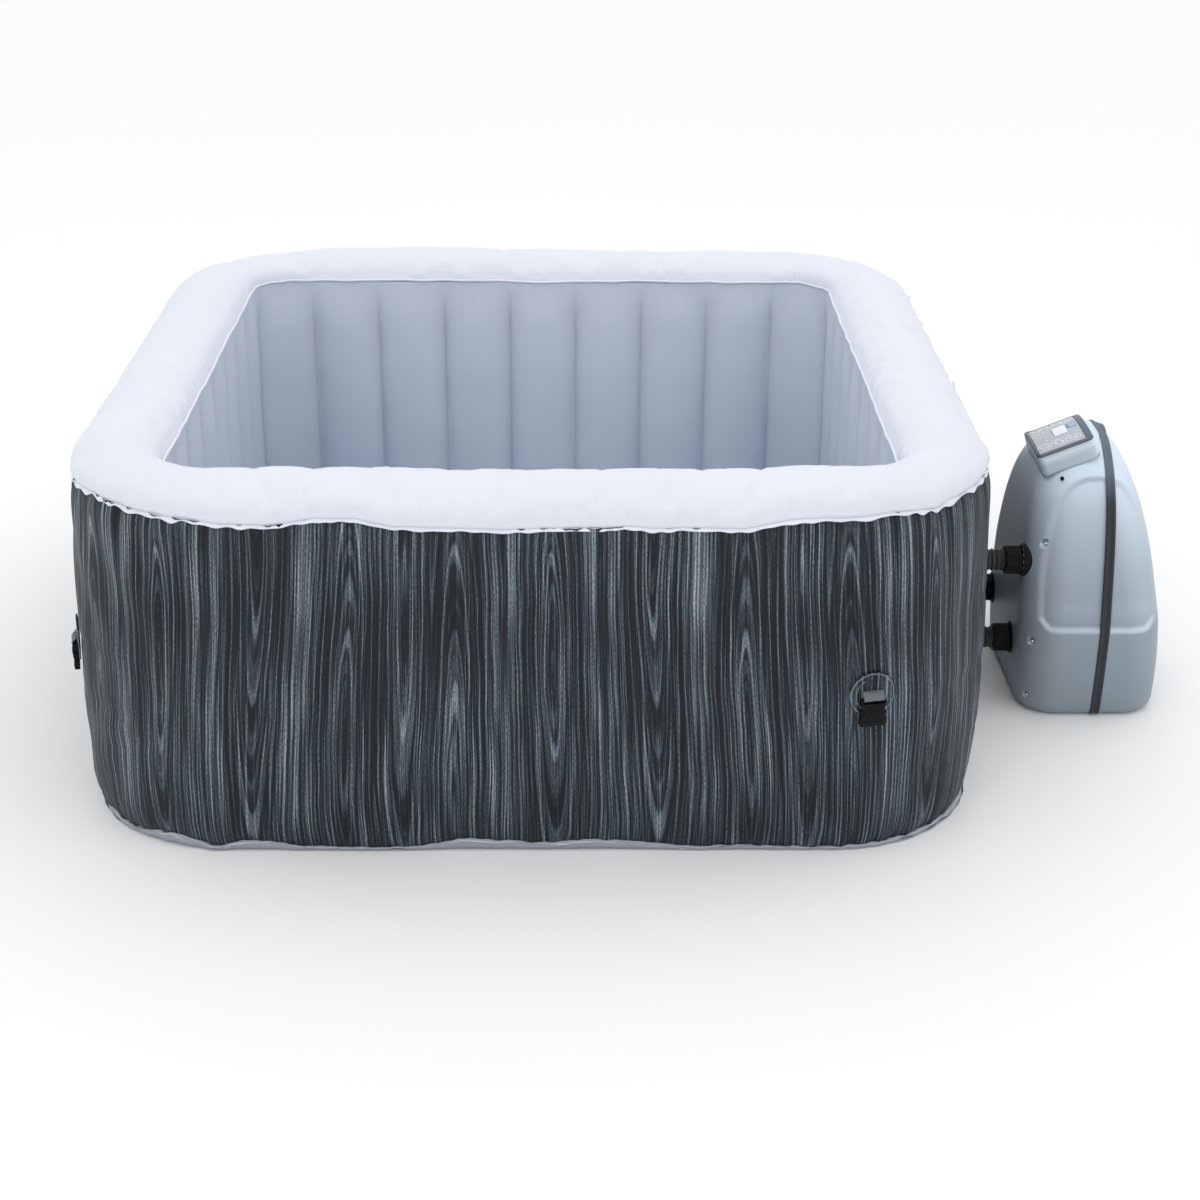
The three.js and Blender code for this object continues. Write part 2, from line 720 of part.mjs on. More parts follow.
// ---- works inside the heater unit ----
{
  const [y, z] = PORT_IN;
  // filter pump: spigot and volute in one moulding, impeller on the motor's shaft
  let v = toM(join(spigot(PORT_IN, 952), cylX(948, 992, 44, y, z, 24)));
  v = v.subtract(toM(cylX(880, 960, 14, y, z, 18))).subtract(toM(cylX(954, 986, 38, y, z, 24)));
  v = v.subtract(toM(cylX(980, 1000, 6.5, y, z, 12)));
  const duct = new THREE.CylinderGeometry(9, 9, 30, 12);
  duct.rotateX(Math.PI / 2);
  duct.translate(970, y, z + 42);
  v = v.subtract(toM(duct));
  add("pump_volute", toG(v), "black_plastic");
  let imp = toM(cylX(974, 978, 32, y, z, 20)).add(toM(cylX(960, 1008, 4, y, z, 12)));
  for (let i = 0; i < 6; i++) {
    const b = box(960, 975, 8, 31, -1.2, 1.2);
    b.rotateX((i * Math.PI) / 3);
    b.translate(0, y, z);
    imp = imp.add(toM(b));
  }
  imp = imp.add(toM(cylX(962, 976, 10, y, z, 14)));
  add("pump_impeller", toG(imp), "white_plastic");
  add(
    "pump_motor",
    turnedX([[994, 4.6], [994, 36], [1000, 40], [1086, 40], [1092, 34], [1092, 0], [1012, 0], [1012, 4.6]], y, z, 20),
    "motor_dark",
  );
}
{
  const [y, z] = PORT_OUT;
  // heater: stainless tube with end caps, fed from the volute through the transfer pipe
  let h = toM(join(spigot(PORT_OUT, 946), cylX(940, 1110, 27, y + 6, z - 2, 20)));
  h = h.subtract(toM(cylX(880, 950, 14, y, z, 18))).subtract(toM(cylX(945, 1104, 24, y + 6, z - 2, 20)));
  add("heater_tube", toG(h), "steel");
  const pipe = (r) => {
    const q = new THREE.CylinderGeometry(r, r, z - 2 - 28 - (PORT_IN[1] + 44.5), 12);
    q.rotateX(Math.PI / 2);
    return q;
  };
  const p = toM(pipe(12)).subtract(toM(pipe(9).scale(1, 1, 1.2)));
  const pg = toG(p);
  pg.translate(1000, y + 6, (z - 30 + PORT_IN[1] + 44.5) / 2);
  const feed = fixed(pg);
  add("transfer_pipe", feed.translate(-30, 12, 0), "black_plastic");
}
{
  const [y, z] = PORT_AIR;
  let b = toM(join(spigot(PORT_AIR, 952), cylX(948, 1006, 58, y, z, 24), cylX(1004, 1062, 30, y, z, 18)));
  b = b.subtract(toM(cylX(880, 960, 14, y, z, 18))).subtract(toM(cylX(953, 1000, 53, y, z, 24)));
  b = b.subtract(toM(cylX(990, 1020, 4.6, y, z, 12)));
  add("air_blower", toG(b), "motor_dark");
  let fan = toM(cylX(988, 992, 48, y, z, 20)).add(toM(cylX(962, 1012, 4, y, z, 12)));
  for (let i = 0; i < 8; i++) {
    const s = box(962, 989, 22, 47, -1.2, 1.2);
    s.rotateX((i * Math.PI) / 4);
    s.translate(0, y, z);
    fan = fan.add(toM(s));
  }
  add("blower_fan", toG(fan), "white_plastic");
}
add("control_box", box(965, 1100, -150, 10, 350, 408), "bezel_dark");

// ---- power cord: leaves the back of the casing, lies in a coil and ends in a moulded plug ----
{
  const pts = [[1100, 90, 40], [1100, 125, 38], [1100, 160, 20], [1096, 205, 6]];
  const N = 18;
  for (let i = 0; i <= N; i++) {
    const t = -0.6 + (i / N) * Math.PI * 2.9;
    pts.push([1030 + Math.cos(t) * (70 - i * 1.2), 330 + Math.sin(t) * (88 - i * 1.2), 6 + (i > 8 ? 9 * Math.min(1, (i - 8) / 4) : 0)]);
  }
  const curve = new THREE.CatmullRomCurve3(pts.map((p) => new THREE.Vector3(...p)));
  const s = new THREE.Shape();
  s.absarc(0, 0, 4, 0, Math.PI * 2);
  const cord = new THREE.ExtrudeGeometry(s, { steps: 40, extrudePath: curve, curveSegments: 3, bevelEnabled: false });
  const end = pts[pts.length - 1];
  const plug = box(end[0] - 24, end[0] + 24, end[1] - 32, end[1] + 32, 2, 36);
  add("power_cord", fixed(toG(toM(fixed(cord)).add(toM(plug)))), "black_plastic");
}

export default root;
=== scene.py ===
"""Visual model of a square inflatable hot tub with its heater unit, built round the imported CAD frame."""

import bpy
import bmesh
import math
import numpy as np
from mathutils import Matrix, Vector


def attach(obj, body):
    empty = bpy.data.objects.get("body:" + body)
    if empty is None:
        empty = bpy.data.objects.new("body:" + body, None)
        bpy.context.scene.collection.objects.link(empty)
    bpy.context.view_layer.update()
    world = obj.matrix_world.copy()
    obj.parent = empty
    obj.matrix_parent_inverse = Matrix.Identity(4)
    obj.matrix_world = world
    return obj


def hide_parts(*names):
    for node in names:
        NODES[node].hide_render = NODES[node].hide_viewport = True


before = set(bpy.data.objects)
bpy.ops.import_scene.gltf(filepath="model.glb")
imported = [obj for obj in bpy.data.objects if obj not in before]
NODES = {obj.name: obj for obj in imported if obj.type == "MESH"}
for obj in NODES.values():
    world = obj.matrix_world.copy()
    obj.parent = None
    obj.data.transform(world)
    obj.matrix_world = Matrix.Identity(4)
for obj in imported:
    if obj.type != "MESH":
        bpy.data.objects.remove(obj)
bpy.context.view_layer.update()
pi = math.pi


# ---------------------------------------------------------------- helpers
def sstep(a, b, x):
    t = np.clip((np.asarray(x, float) - a) / (b - a), 0, 1)
    return t * t * (3 - 2 * t)


def n1(u, cells, seed):
    """Smooth noise in -1..1, repeating when u goes from 0 to 1."""
    r = np.random.RandomState(seed).uniform(-1, 1, cells)
    x = (np.asarray(u, float) % 1) * cells
    i = np.floor(x).astype(int)
    f = x - i
    f = f * f * (3 - 2 * f)
    return r[i % cells] * (1 - f) + r[(i + 1) % cells] * f


def n2(u, v, cu, cv, seed):
    """Smooth noise over u (repeating) and v (0..1)."""
    r = np.random.RandomState(seed).uniform(-1, 1, (cu, cv + 3))
    x, y = (u % 1) * cu, np.clip(v, 0, 1) * cv
    i, j = np.floor(x).astype(int), np.floor(y).astype(int)
    f, g = x - i, y - j
    f, g = f * f * (3 - 2 * f), g * g * (3 - 2 * g)
    a = r[i % cu, j] * (1 - f) + r[(i + 1) % cu, j] * f
    b = r[i % cu, j + 1] * (1 - f) + r[(i + 1) % cu, j + 1] * f
    return a * (1 - g) + b * g


def link(me, name, mats=(), smooth=True):
    ob = bpy.data.objects.new(name, me)
    bpy.context.scene.collection.objects.link(ob)
    for m in mats:
        me.materials.append(m)
    if smooth:
        me.polygons.foreach_set("use_smooth", np.ones(len(me.polygons), bool))
    me.update()
    return ob


def mesh(name, verts, faces, mats=(), smooth=True):
    me = bpy.data.meshes.new(name)
    me.from_pydata([tuple(map(float, v)) for v in verts], [], faces)
    me.validate()
    return link(me, name, mats, smooth)


def outward(ob):
    bm = bmesh.new()
    bm.from_mesh(ob.data)
    bmesh.ops.recalc_face_normals(bm, faces=bm.faces)
    bm.to_mesh(ob.data)
    bm.free()
    return ob


def grid(name, P, cu=True, cv=False, uv=None, mats=(), caps=False, flip=False):
    """P[i, j] is a point; i runs round (closed if cu), j across (closed if cv)."""
    n, m = P.shape[:2]
    I = np.arange(n if cu else n - 1)
    J = np.arange(m if cv else m - 1)
    i, j = np.meshgrid(I, J, indexing="ij")
    i2, j2 = (i + 1) % n, (j + 1) % m
    F = np.stack([i * m + j, i2 * m + j, i2 * m + j2, i * m + j2], -1).reshape(-1, 4)
    if flip:
        F = F[:, ::-1]
    me = bpy.data.meshes.new(name)
    V = P.reshape(-1, 3)
    me.vertices.add(len(V))
    me.vertices.foreach_set("co", V.astype(np.float32).ravel())
    extra = []
    if caps:
        extra = [list(range(0, n * m, m)), list(range(m - 1, n * m, m))] if cu else [list(range(m))[::-1], list(range((n - 1) * m, n * m))]
    nf = len(F)
    loops = list(F.ravel()) + [k for e in extra for k in e]
    me.loops.add(len(loops))
    me.loops.foreach_set("vertex_index", np.array(loops, np.int32))
    starts = list(range(0, 4 * nf, 4))
    o = 4 * nf
    for e in extra:
        starts.append(o)
        o += len(e)
    me.polygons.add(len(starts))
    me.polygons.foreach_set("loop_start", np.array(starts, np.int32))
    me.update(calc_edges=True)
    if uv is not None:
        U = me.uv_layers.new(name="grain")
        a = uv.reshape(-1, 2)[F.ravel()].reshape(-1, 4, 2).copy()
        if cu:  # the last column wraps, so its u goes on past the first
            wrap = (i == n - 1).ravel()
            L = float(uv[-1, 0, 0] - uv[0, 0, 0]) * n / (n - 1)
            cols = (1, 2) if not flip else (1, 2)
            idx = F[wrap]
            for c in range(4):
                first = (idx[:, c] // m) == 0
                a[wrap, c, 0] += np.where(first, L, 0)
        flat = np.zeros((len(loops), 2), np.float32)
        flat[: 4 * nf] = a.reshape(-1, 2)
        U.data.foreach_set("uv", flat.ravel())
    me.validate()
    return link(me, name, mats)


def modify(ob, kind, **k):
    m = ob.modifiers.new(kind.lower(), kind)
    for a, b in k.items():
        setattr(m, a, b)
    return m


def apply(ob):
    bpy.context.view_layer.update()
    dg = bpy.context.evaluated_depsgraph_get()
    me = bpy.data.meshes.new_from_object(ob.evaluated_get(dg))
    ob.modifiers.clear()
    old = ob.data
    ob.data = me
    bpy.data.meshes.remove(old)
    return ob


def put(ob, body, slot=None, *nodes):
    if nodes:
        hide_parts(*nodes)
    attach(ob, body)
    return ob


def loop(a, r, p, c=0.32):
    """Rounded square: share p (0..1, array) -> x, y, nx, ny; a and r may be arrays."""
    p = np.asarray(p, float) % 1
    q = np.floor(p * 4)
    f = p * 4 - q
    t0 = q * pi / 2
    corner = f < c
    t = t0 + np.where(corner, f / c, 1) * pi / 2
    nx, ny = np.cos(t), np.sin(t)
    cx = (a - r) * np.where((q == 0) | (q == 3), 1, -1)
    cy = (a - r) * np.where(q < 2, 1, -1)
    x, y = cx + r * nx, cy + r * ny
    g = np.where(corner, 0, (f - c) / (1 - c))
    x = x - ny * g * 2 * (a - r)
    y = y + nx * g * 2 * (a - r)
    return x, y, nx, ny


def arclen(a, r, p, c=0.32):
    """Length along the rounded square, 0 at the middle of -Y, so that it equals x there."""
    p = np.asarray(p, float)
    q = np.floor(p * 4)
    f = p * 4 - q
    L = pi / 2 * r + 2 * (a - r)
    s = q * L + np.where(f < c, f / c * pi / 2 * r, pi / 2 * r + (f - c) / (1 - c) * 2 * (a - r))
    return s - (2 * L + pi / 2 * r + (a - r))


def lathe_x(name, prof, y, z, seg=48, mats=(), closed=True, mod=None):
    """Turned along X at (y, z). prof is a list of (x, radius); mod(x, r, t) may change the radius."""
    t = np.arange(seg) * 2 * pi / seg
    pr = np.array(prof, float)
    X = np.repeat(pr[None, :, 0], seg, 0)
    R = np.repeat(pr[None, :, 1], seg, 0)
    T = np.repeat(t[:, None], len(pr), 1)
    if mod:
        R = mod(X, R, T)
    P = np.stack([X, y + R * np.cos(T), z + R * np.sin(T)], -1)
    return outward(grid(name, P, True, closed, mats=mats))


# ---------------------------------------------------------------- materials
class Graph:
    def __init__(self, name):
        self.m = bpy.data.materials.new(name)
        self.m.use_nodes = True
        self.nt = self.m.node_tree
        self.n = self.nt.nodes
        self.bsdf = self.n["Principled BSDF"]

    def node(self, kind, ins=None, **props):
        x = self.n.new(kind)
        for a, b in props.items():
            setattr(x, a, b)
        for a, b in (ins or {}).items():
            self.set(x.inputs[a], b)
        return x

    def set(self, socket, v):
        if isinstance(v, bpy.types.NodeSocket):
            self.nt.links.new(v, socket)
        elif isinstance(v, (tuple, list)) and socket.type == "RGBA" and len(v) == 3:
            socket.default_value = (*v, 1)
        else:
            socket.default_value = v

    def math(self, op, a, b=0.0, c=0.0):
        return self.node("ShaderNodeMath", {0: a, 1: b, 2: c}, operation=op).outputs[0]

    def noise(self, vec, scale, detail=2, rough=0.5, dim="3D", dist=0.0):
        x = self.node("ShaderNodeTexNoise", {"Vector": vec, "Scale": scale, "Detail": detail, "Roughness": rough, "Distortion": dist}, noise_dimensions=dim)
        return x.outputs[0]

    def mix(self, f, a, b, kind="MIX"):
        x = self.node("ShaderNodeMix", data_type="RGBA", blend_type=kind)
        self.set(x.inputs[0], f)
        self.set(x.inputs[6], a)
        self.set(x.inputs[7], b)
        return x.outputs[2]

    def ramp(self, f, stops):
        x = self.node("ShaderNodeValToRGB", {0: f})
        e = x.color_ramp.elements
        while len(e) < len(stops):
            e.new(0.5)
        for k, (p, c) in zip(e, stops):
            k.position = p
            k.color = (c, c, c, 1) if not isinstance(c, tuple) else (*c, 1)
        return x.outputs[0]

    def scaled(self, vec, s):
        return self.node("ShaderNodeVectorMath", {0: vec, 1: s}, operation="MULTIPLY").outputs[0]

    def bump(self, h, dist, strength=1.0, prev=None):
        x = self.node("ShaderNodeBump", {"Height": h, "Distance": dist, "Strength": strength})
        if prev is not None:
            self.set(x.inputs["Normal"], prev)
        return x.outputs[0]

    def out(self, **k):
        for a, b in k.items():
            self.set(self.bsdf.inputs[a.replace("_", " ")], b)
        return self.m


def plain(name, col, col2, rough=0.45, var=6.0, fine=900.0, bump=0.0003, metal=0.0, spec=0.5, dirt=None, stretch=(1, 1, 1), edge=0.0):
    """Moulded plastic or vinyl: slow colour drift, fine grain in the bump and roughness, optional lightening along
    sharp convex edges.
    """
    g = Graph(name)
    tc = g.node("ShaderNodeTexCoord").outputs["Object"]
    tc = g.scaled(tc, stretch)
    slow = g.noise(tc, var, 3)
    grain = g.noise(tc, fine, 2, 0.6)
    f = g.math("MULTIPLY_ADD", slow, 1.6, -0.3)
    c = g.mix(f, col, col2)
    c = g.mix(g.math("MULTIPLY", grain, 0.10), c, tuple(x * 0.55 for x in col))
    # lighter along sharp convex edges, by the mesh's pointiness
    if edge:
        bev = g.node("ShaderNodeNewGeometry").outputs["Pointiness"]
        w = g.ramp(bev, [(0.52, 0.0), (0.62, 1.0)])
        c = g.mix(g.math("MULTIPLY", w, edge), c, tuple(min(1, x * 1.5 + 0.06) for x in col))
    r = g.math("ADD", g.math("MULTIPLY", grain, 0.14), g.math("MULTIPLY_ADD", slow, 0.12, rough - 0.13))
    n = g.bump(grain, bump)
    return g.out(Base_Color=c, Roughness=r, Normal=n, Metallic=metal, Specular_IOR_Level=spec)


def wood_print():
    """Bookmatched wood grain printed on satin vinyl; UV is metres along the wall and metres up."""
    g = Graph("wood_grain_vinyl")
    PER = 0.62725
    uvn = g.node("ShaderNodeUVMap")
    uvn.uv_map = "grain"
    uv = uvn.outputs[0]
    sep = g.node("ShaderNodeSeparateXYZ", {0: uv})
    s, z = sep.outputs[0], sep.outputs[1]
    # slow sway of the lines
    sway = g.noise(g.scaled(uv, (3.2, 2.4, 1)), 1.0, 2)
    s1 = g.math("ADD", s, g.math("MULTIPLY_ADD", sway, 0.022, -0.011))
    jit = g.noise(g.scaled(uv, (16, 9, 1)), 1.0, 2)
    s1 = g.math("ADD", s1, g.math("MULTIPLY_ADD", jit, 0.0040, -0.0020))
    sm = g.math("MODULO", g.math("ADD", s1, PER * 20), PER)
    r = None
    #          centre, height, stretch of the eye
    for c, zc, k in ((0.035, 0.36, 0.070), (0.34, 0.20, 0.062), (PER - 0.12, 0.08, 0.058), (0.195, 0.66, 0.050), (0.430, 0.50, 0.045)):
        d = g.math("SUBTRACT", sm, c)
        d = g.math("SUBTRACT", d, g.math("MULTIPLY", g.math("ROUND", g.math("DIVIDE", d, PER)), PER))
        e = g.math("MULTIPLY", g.math("SUBTRACT", z, zc), k)
        q = g.math("SQRT", g.math("ADD", g.math("MULTIPLY", d, d), g.math("MULTIPLY", e, e)))
        r = q if r is None else g.math("SMOOTH_MIN", r, q, 0.010)
    comb = lambda a, b, c=0.0: g.node("ShaderNodeCombineXYZ", {0: a, 1: b, 2: c}).outputs[0]
    big = g.noise(comb(g.math("MULTIPLY", r, 46), g.math("MULTIPLY", z, 0.5), 3.7), 1.0, 2)
    mid = g.noise(comb(g.math("MULTIPLY", r, 285), g.math("MULTIPLY", z, 1.8), 1.3), 1.0, 2)
    fin = g.noise(comb(g.math("MULTIPLY", r, 520), g.math("MULTIPLY", z, 4.5), 9.1), 1.0, 1)
    # lines that follow the wall, not the rings, break the pattern between figures
    ver = g.noise(comb(g.math("MULTIPLY", s1, 330), g.math("MULTIPLY", z, 2.6), 5.0), 1.0, 2)
    line = g.ramp(mid, [(0.46, 0.0), (0.55, 0.40), (0.66, 1.0)])
    line2 = g.ramp(fin, [(0.48, 0.0), (0.66, 1.0)])
    line3 = g.ramp(ver, [(0.50, 0.0), (0.66, 1.0)])
    bands = g.ramp(big, [(0.34, 0.0), (0.62, 1.0)])
    v = g.math("ADD", g.math("MULTIPLY", line, 0.36), g.math("MULTIPLY", line2, 0.24))
    v = g.math("ADD", v, g.math("MULTIPLY", line3, 0.34))
    v = g.math("MULTIPLY", v, g.math("MULTIPLY_ADD", bands, 0.70, 0.38))
    # broken, dusty print: fine pores stretched up the wall
    por = g.noise(g.scaled(uv, (900, 160, 1)), 1.0, 3, 0.7)
    v = g.math("MULTIPLY", v, g.ramp(por, [(0.30, 0.35), (0.62, 1.15)]))
    cloud = g.noise(g.scaled(uv, (9, 3.0, 1)), 1.0, 3)
    v = g.math("MULTIPLY", v, g.math("MULTIPLY_ADD", cloud, 1.5, 0.35))
    v = g.math("ADD", v, g.math("MULTIPLY_ADD", bands, 0.05, 0.0))
    col = g.ramp(v, [(0.0, (0.0030, 0.0050, 0.0072)), (0.14, (0.010, 0.0145, 0.0195)), (0.34, (0.066, 0.088, 0.108)), (0.60, (0.205, 0.250, 0.290)), (1.0, (0.40, 0.45, 0.50))])
    cre = g.noise(g.node("ShaderNodeTexCoord").outputs["Object"], 14, 3)
    rough = g.math("ADD", g.math("MULTIPLY", por, 0.16), g.math("MULTIPLY_ADD", cre, 0.2, 0.36))
    n = g.bump(v, 0.0004, 0.5)
    n = g.bump(g.noise(g.node("ShaderNodeTexCoord").outputs["Object"], 70, 3), 0.0009, 0.55, n)
    return g.out(Base_Color=col, Roughness=rough, Normal=n, Specular_IOR_Level=0.26)


def vinyl(name, top, low=None, zr=(0.0, 0.6), rough=0.42, bump=0.0008, cells=0):
    """Satin sheet vinyl with painted shade: darker low down and lighter above, where the light falls; soft wrinkles in
    the bump.
    """
    g = Graph(name)
    tc = g.node("ShaderNodeTexCoord").outputs["Object"]
    z = g.node("ShaderNodeSeparateXYZ", {0: tc}).outputs[2]
    # painted shade: the colour runs from low at z zr[0] to top at z zr[1], so the sheet is lighter higher up as if lit
    # from above
    f = g.node("ShaderNodeMapRange", {0: z, 1: zr[0], 2: zr[1]}).outputs[0]
    low = low or tuple(x * 0.93 for x in top)
    c = g.mix(f, low, top)
    slow = g.noise(tc, 4.5, 3)
    c = g.mix(g.math("MULTIPLY_ADD", slow, 0.5, -0.12), c, tuple(x * 0.9 for x in low))
    fine = g.noise(tc, 1400, 2, 0.6)
    c = g.mix(g.math("MULTIPLY", fine, 0.07), c, tuple(x * 0.6 for x in low))
    if cells:  # painted shade in the creases: greyer toward each crease of the upright welds, fading out near the top
        uv = g.node("ShaderNodeUVMap")
        uv.uv_map = "grain"
        u = g.node("ShaderNodeSeparateXYZ", {0: uv.outputs[0]}).outputs[0]
        fr = g.math("FRACT", g.math("MULTIPLY_ADD", u, cells, 0.5))
        dist = g.math("MULTIPLY", g.math("ABSOLUTE", g.math("SUBTRACT", fr, 0.5)), 2.0)
        m = g.math("ADD", g.math("MULTIPLY", g.math("POWER", dist, 5.0), 0.26), g.math("MULTIPLY", g.math("POWER", dist, 26.0), 0.22))
        m = g.math("MULTIPLY", m, g.node("ShaderNodeMapRange", {0: z, 1: 0.585, 2: 0.49}).outputs[0])
        # painted shade: the crease mask m darkens the colour toward low * 0.42
        c = g.mix(m, c, tuple(x * 0.42 for x in low))
    soft = g.noise(g.scaled(tc, (1, 1, 0.6)), 26, 4, 0.55, dist=0.6)
    r = g.math("ADD", g.math("MULTIPLY", fine, 0.12), g.math("MULTIPLY_ADD", soft, 0.14, rough - 0.13))
    n = g.bump(soft, bump, 0.35)
    n = g.bump(fine, 0.00012, 0.6, n)
    return g.out(Base_Color=c, Roughness=r, Normal=n, Specular_IOR_Level=0.4)


WOOD = wood_print()
RIM = vinyl("white_vinyl", (0.745, 0.770, 0.845), (0.73, 0.755, 0.835), (0.57, 0.65), 0.45, 0.0005)
LINER = vinyl("grey_liner_vinyl", (0.645, 0.70, 0.79), (0.53, 0.59, 0.69), (0.0, 0.6), 0.42, 0.0006)
CELLS = vinyl("inner_wall_vinyl", (0.655, 0.71, 0.80), (0.545, 0.605, 0.705), (0.0, 0.6), 0.42, 0.0006, 34 / 4.7)
FLOORV = vinyl("grey_floor_vinyl", (0.50, 0.56, 0.64), (0.46, 0.52, 0.60), (0.0, 0.1), 0.42)
FLANGE = vinyl("weld_edge_vinyl", (0.80, 0.83, 0.90), (0.60, 0.65, 0.72), (0.0, 0.6), 0.4)
BASEV = vinyl("base_sheet_vinyl", (0.36, 0.37, 0.43), (0.30, 0.31, 0.365), (0.0, 0.04), 0.55)


# ---------------------------------------------------------------- tub: shared curves
NP = 1120
PS = np.arange(NP) / NP
WA, WR = 0.770, 0.300  # outer wall half width and corner radius for lengths
US = arclen(WA, WR, PS)
PERIM = 4 * (pi / 2 * WR + 2 * (WA - WR))


def near(u, c, w):
    """Bump of half width w round c, along the perimeter."""
    d = (u - c + PERIM / 2) % PERIM - PERIM / 2
    return np.exp(-((d / w) ** 2))


# height of the upper weld round the tub: slow scallops, held to the real rise and fall along the front
FRONT = [(-1.0, 0.0), (-0.856, -0.004), (-0.73, 0.008), (-0.647, 0.007), (-0.568, 0.004), (-0.464, -0.002), (-0.411, -0.003),
         (-0.339, 0.007), (-0.275, 0.007), (-0.213, -0.005), (-0.032, -0.009), (0.109, -0.005), (0.264, -0.006), (0.339, -0.007),
         (0.385, 0.001), (0.437, 0.011), (0.512, 0.010), (0.573, 0.012), (0.66, 0.005), (0.694, 0.012), (0.748, 0.013), (0.826, 0.012), (1.0, 0.0)]


def seam_dz(u, p):
    inside = sstep(1.0, 0.85, np.abs((u + PERIM / 2) % PERIM - PERIM / 2))
    uu = (u + PERIM / 2) % PERIM - PERIM / 2
    fr = np.interp(uu, [a for a, b in FRONT], [b for a, b in FRONT])
    rest = 0.006 * n1(p, 22, 3) + 0.003 * n1(p, 61, 4)
    return inside * (fr + 0.0012 * n1(p, 130, 5) + 0.0008 * n1(p, 260, 6)) + (1 - inside) * rest


# how strongly the sheet puckers: more at the corners and the sides than along the front
def pucker_gain(u, p):
    corner = sum(near(u, PERIM / 8 + k * PERIM / 4, 0.30) for k in range(4))
    side = near(u, PERIM / 4, 0.42) + near(u, -PERIM / 4, 0.42)
    return np.clip(0.45 + 0.75 * corner + 0.45 * side + 0.35 * n1(p, 19, 8), 0.15, 1.6)


ZS = 0.588 + seam_dz(US, PS)
GAIN = pucker_gain(US, PS)


def ripple(p, n, seed, wander=0.35):
    """Uneven pleats: about n of them round the tub."""
    return np.sin(2 * pi * (n * p + wander * n1(p, n // 2, seed) + 1.4 * n1(p, n // 7, seed + 1))) * (0.65 + 0.35 * n1(p, n // 3, seed + 2))


PUCK = ripple(PS, 236, 21)
PUCK2 = ripple(PS, 118, 31)
# lower weld: lies near the ground and lifts in arcs, where the pale base sheet shows
LIFT = 0.0 * US
for c, w, h in ((-0.60, 0.075, 0.013), (-0.43, 0.05, 0.010), (-0.505, 0.02, -0.004), (-0.10, 0.05, 0.012), (-0.03, 0.03, 0.007), (0.10, 0.09, 0.010),
                (0.33, 0.04, 0.004), (1.15, 0.12, 0.011), (1.42, 0.08, 0.012), (1.9, 0.1, 0.010), (2.5, 0.12, 0.012), (-1.2, 0.1, 0.012), (-1.5, 0.09, 0.010), (-2.1, 0.12, 0.012), (-2.55, 0.08, 0.01)):
    LIFT = LIFT + h * near(US, c, w)
ZB = 0.0060 + 1.35 * np.clip(LIFT, 0, 0.02) + 0.0014 * n1(PS, 90, 41) + 0.0008 * n1(PS, 230, 42)
WALL = np.array([(0.0, -0.012), (0.02, -0.0065), (0.06, 0.0), (0.13, 0.0045), (0.20, 0.006), (0.33, 0.008), (0.46, 0.005), (0.54, 0.0015), (0.575, -0.001), (0.60, -0.004)])


def wall_d(z):
    return np.interp(z, WALL[:, 0], WALL[:, 1])


def radius_at(z):
    return 0.268 + (0.306 - 0.268) * sstep(0.02, 0.58, z)


def wall_grid(nz=44, d0=0.0):
    v = np.linspace(0, 1, nz)
    v = v - 0.11 * np.sin(2 * pi * v)  # finer near both welds
    p = PS[:, None] + 0 * v
    u = US[:, None] + 0 * v
    zb, zs = ZB[:, None], ZS[:, None]
    z = zb + (zs - zb) * v
    d = wall_d(z)
    g = GAIN[:, None]
    down, up = np.clip(zs - z, 0, 1), np.clip(z - zb, 0, 1)
    # slow swell of the air chamber, with the webs' faint upright hollows
    d = d + 0.0038 * n2(p, v, 16, 3, 11) + 0.0016 * n2(p, v, 40, 5, 12)
    # the sheet rounds over into each weld
    d = d - 0.0065 * np.exp(-((down / 0.016) ** 1.2)) - 0.006 * np.exp(-((up / 0.013) ** 1.2))
    # pleats gathered at the welds and dying out down the wall
    d = d + g * (0.0021 * PUCK[:, None] * np.exp(-down / 0.030) + 0.0024 * PUCK2[:, None] * np.exp(-down / 0.075))
    d = d + g * (0.0019 * np.roll(PUCK, 3)[:, None] * np.exp(-up / 0.022) + 0.0022 * np.roll(PUCK2, 9)[:, None] * np.exp(-up / 0.05))
    # long soft folds that lean near the corners
    fold = np.sin(2 * pi * (34 * p + 0.9 * n2(p, v, 12, 2, 14)) + 3.0 * z)
    corner = sum(near(u, PERIM / 8 + k * PERIM / 4, 0.22) for k in range(4))
    d = d + 0.0016 * fold * (0.35 + corner)
    # sideways creases where the sheet is slack, low on the corners
    for c, w, zc, hz, a in ((-0.70, 0.16, 0.205, 0.007, 0.0026), (-0.66, 0.14, 0.172, 0.006, 0.002), (-0.74, 0.12, 0.142, 0.006, 0.0018), (-0.80, 0.14, 0.30, 0.008, 0.002), (0.80, 0.15, 0.25, 0.008, 0.0026), (0.86, 0.12, 0.36, 0.007, 0.002),
                           (0.76, 0.14, 0.12, 0.007, 0.0022), (2.10, 0.15, 0.22, 0.008, 0.0024), (-2.05, 0.16, 0.26, 0.008, 0.0024), (1.4, 0.2, 0.33, 0.008, 0.0012), (-1.45, 0.22, 0.24, 0.008, 0.0014)):
        zz = z - zc - 0.02 * n1(p, 9, 50) - 0.010 * n1(p, 33, 51)
        d = d - a * near(u, c, w) * (np.exp(-((zz / hz) ** 2)) - 0.6 * np.exp(-(((zz - 2.2 * hz) / (1.4 * hz)) ** 2)))
    x, y, nx, ny = loop(WA + 0 * z, radius_at(z), p)
    e = d + d0
    P = np.stack([x + nx * e, y + ny * e, z], -1)
    return P, np.stack([u, z], -1)


P, UV = wall_grid()
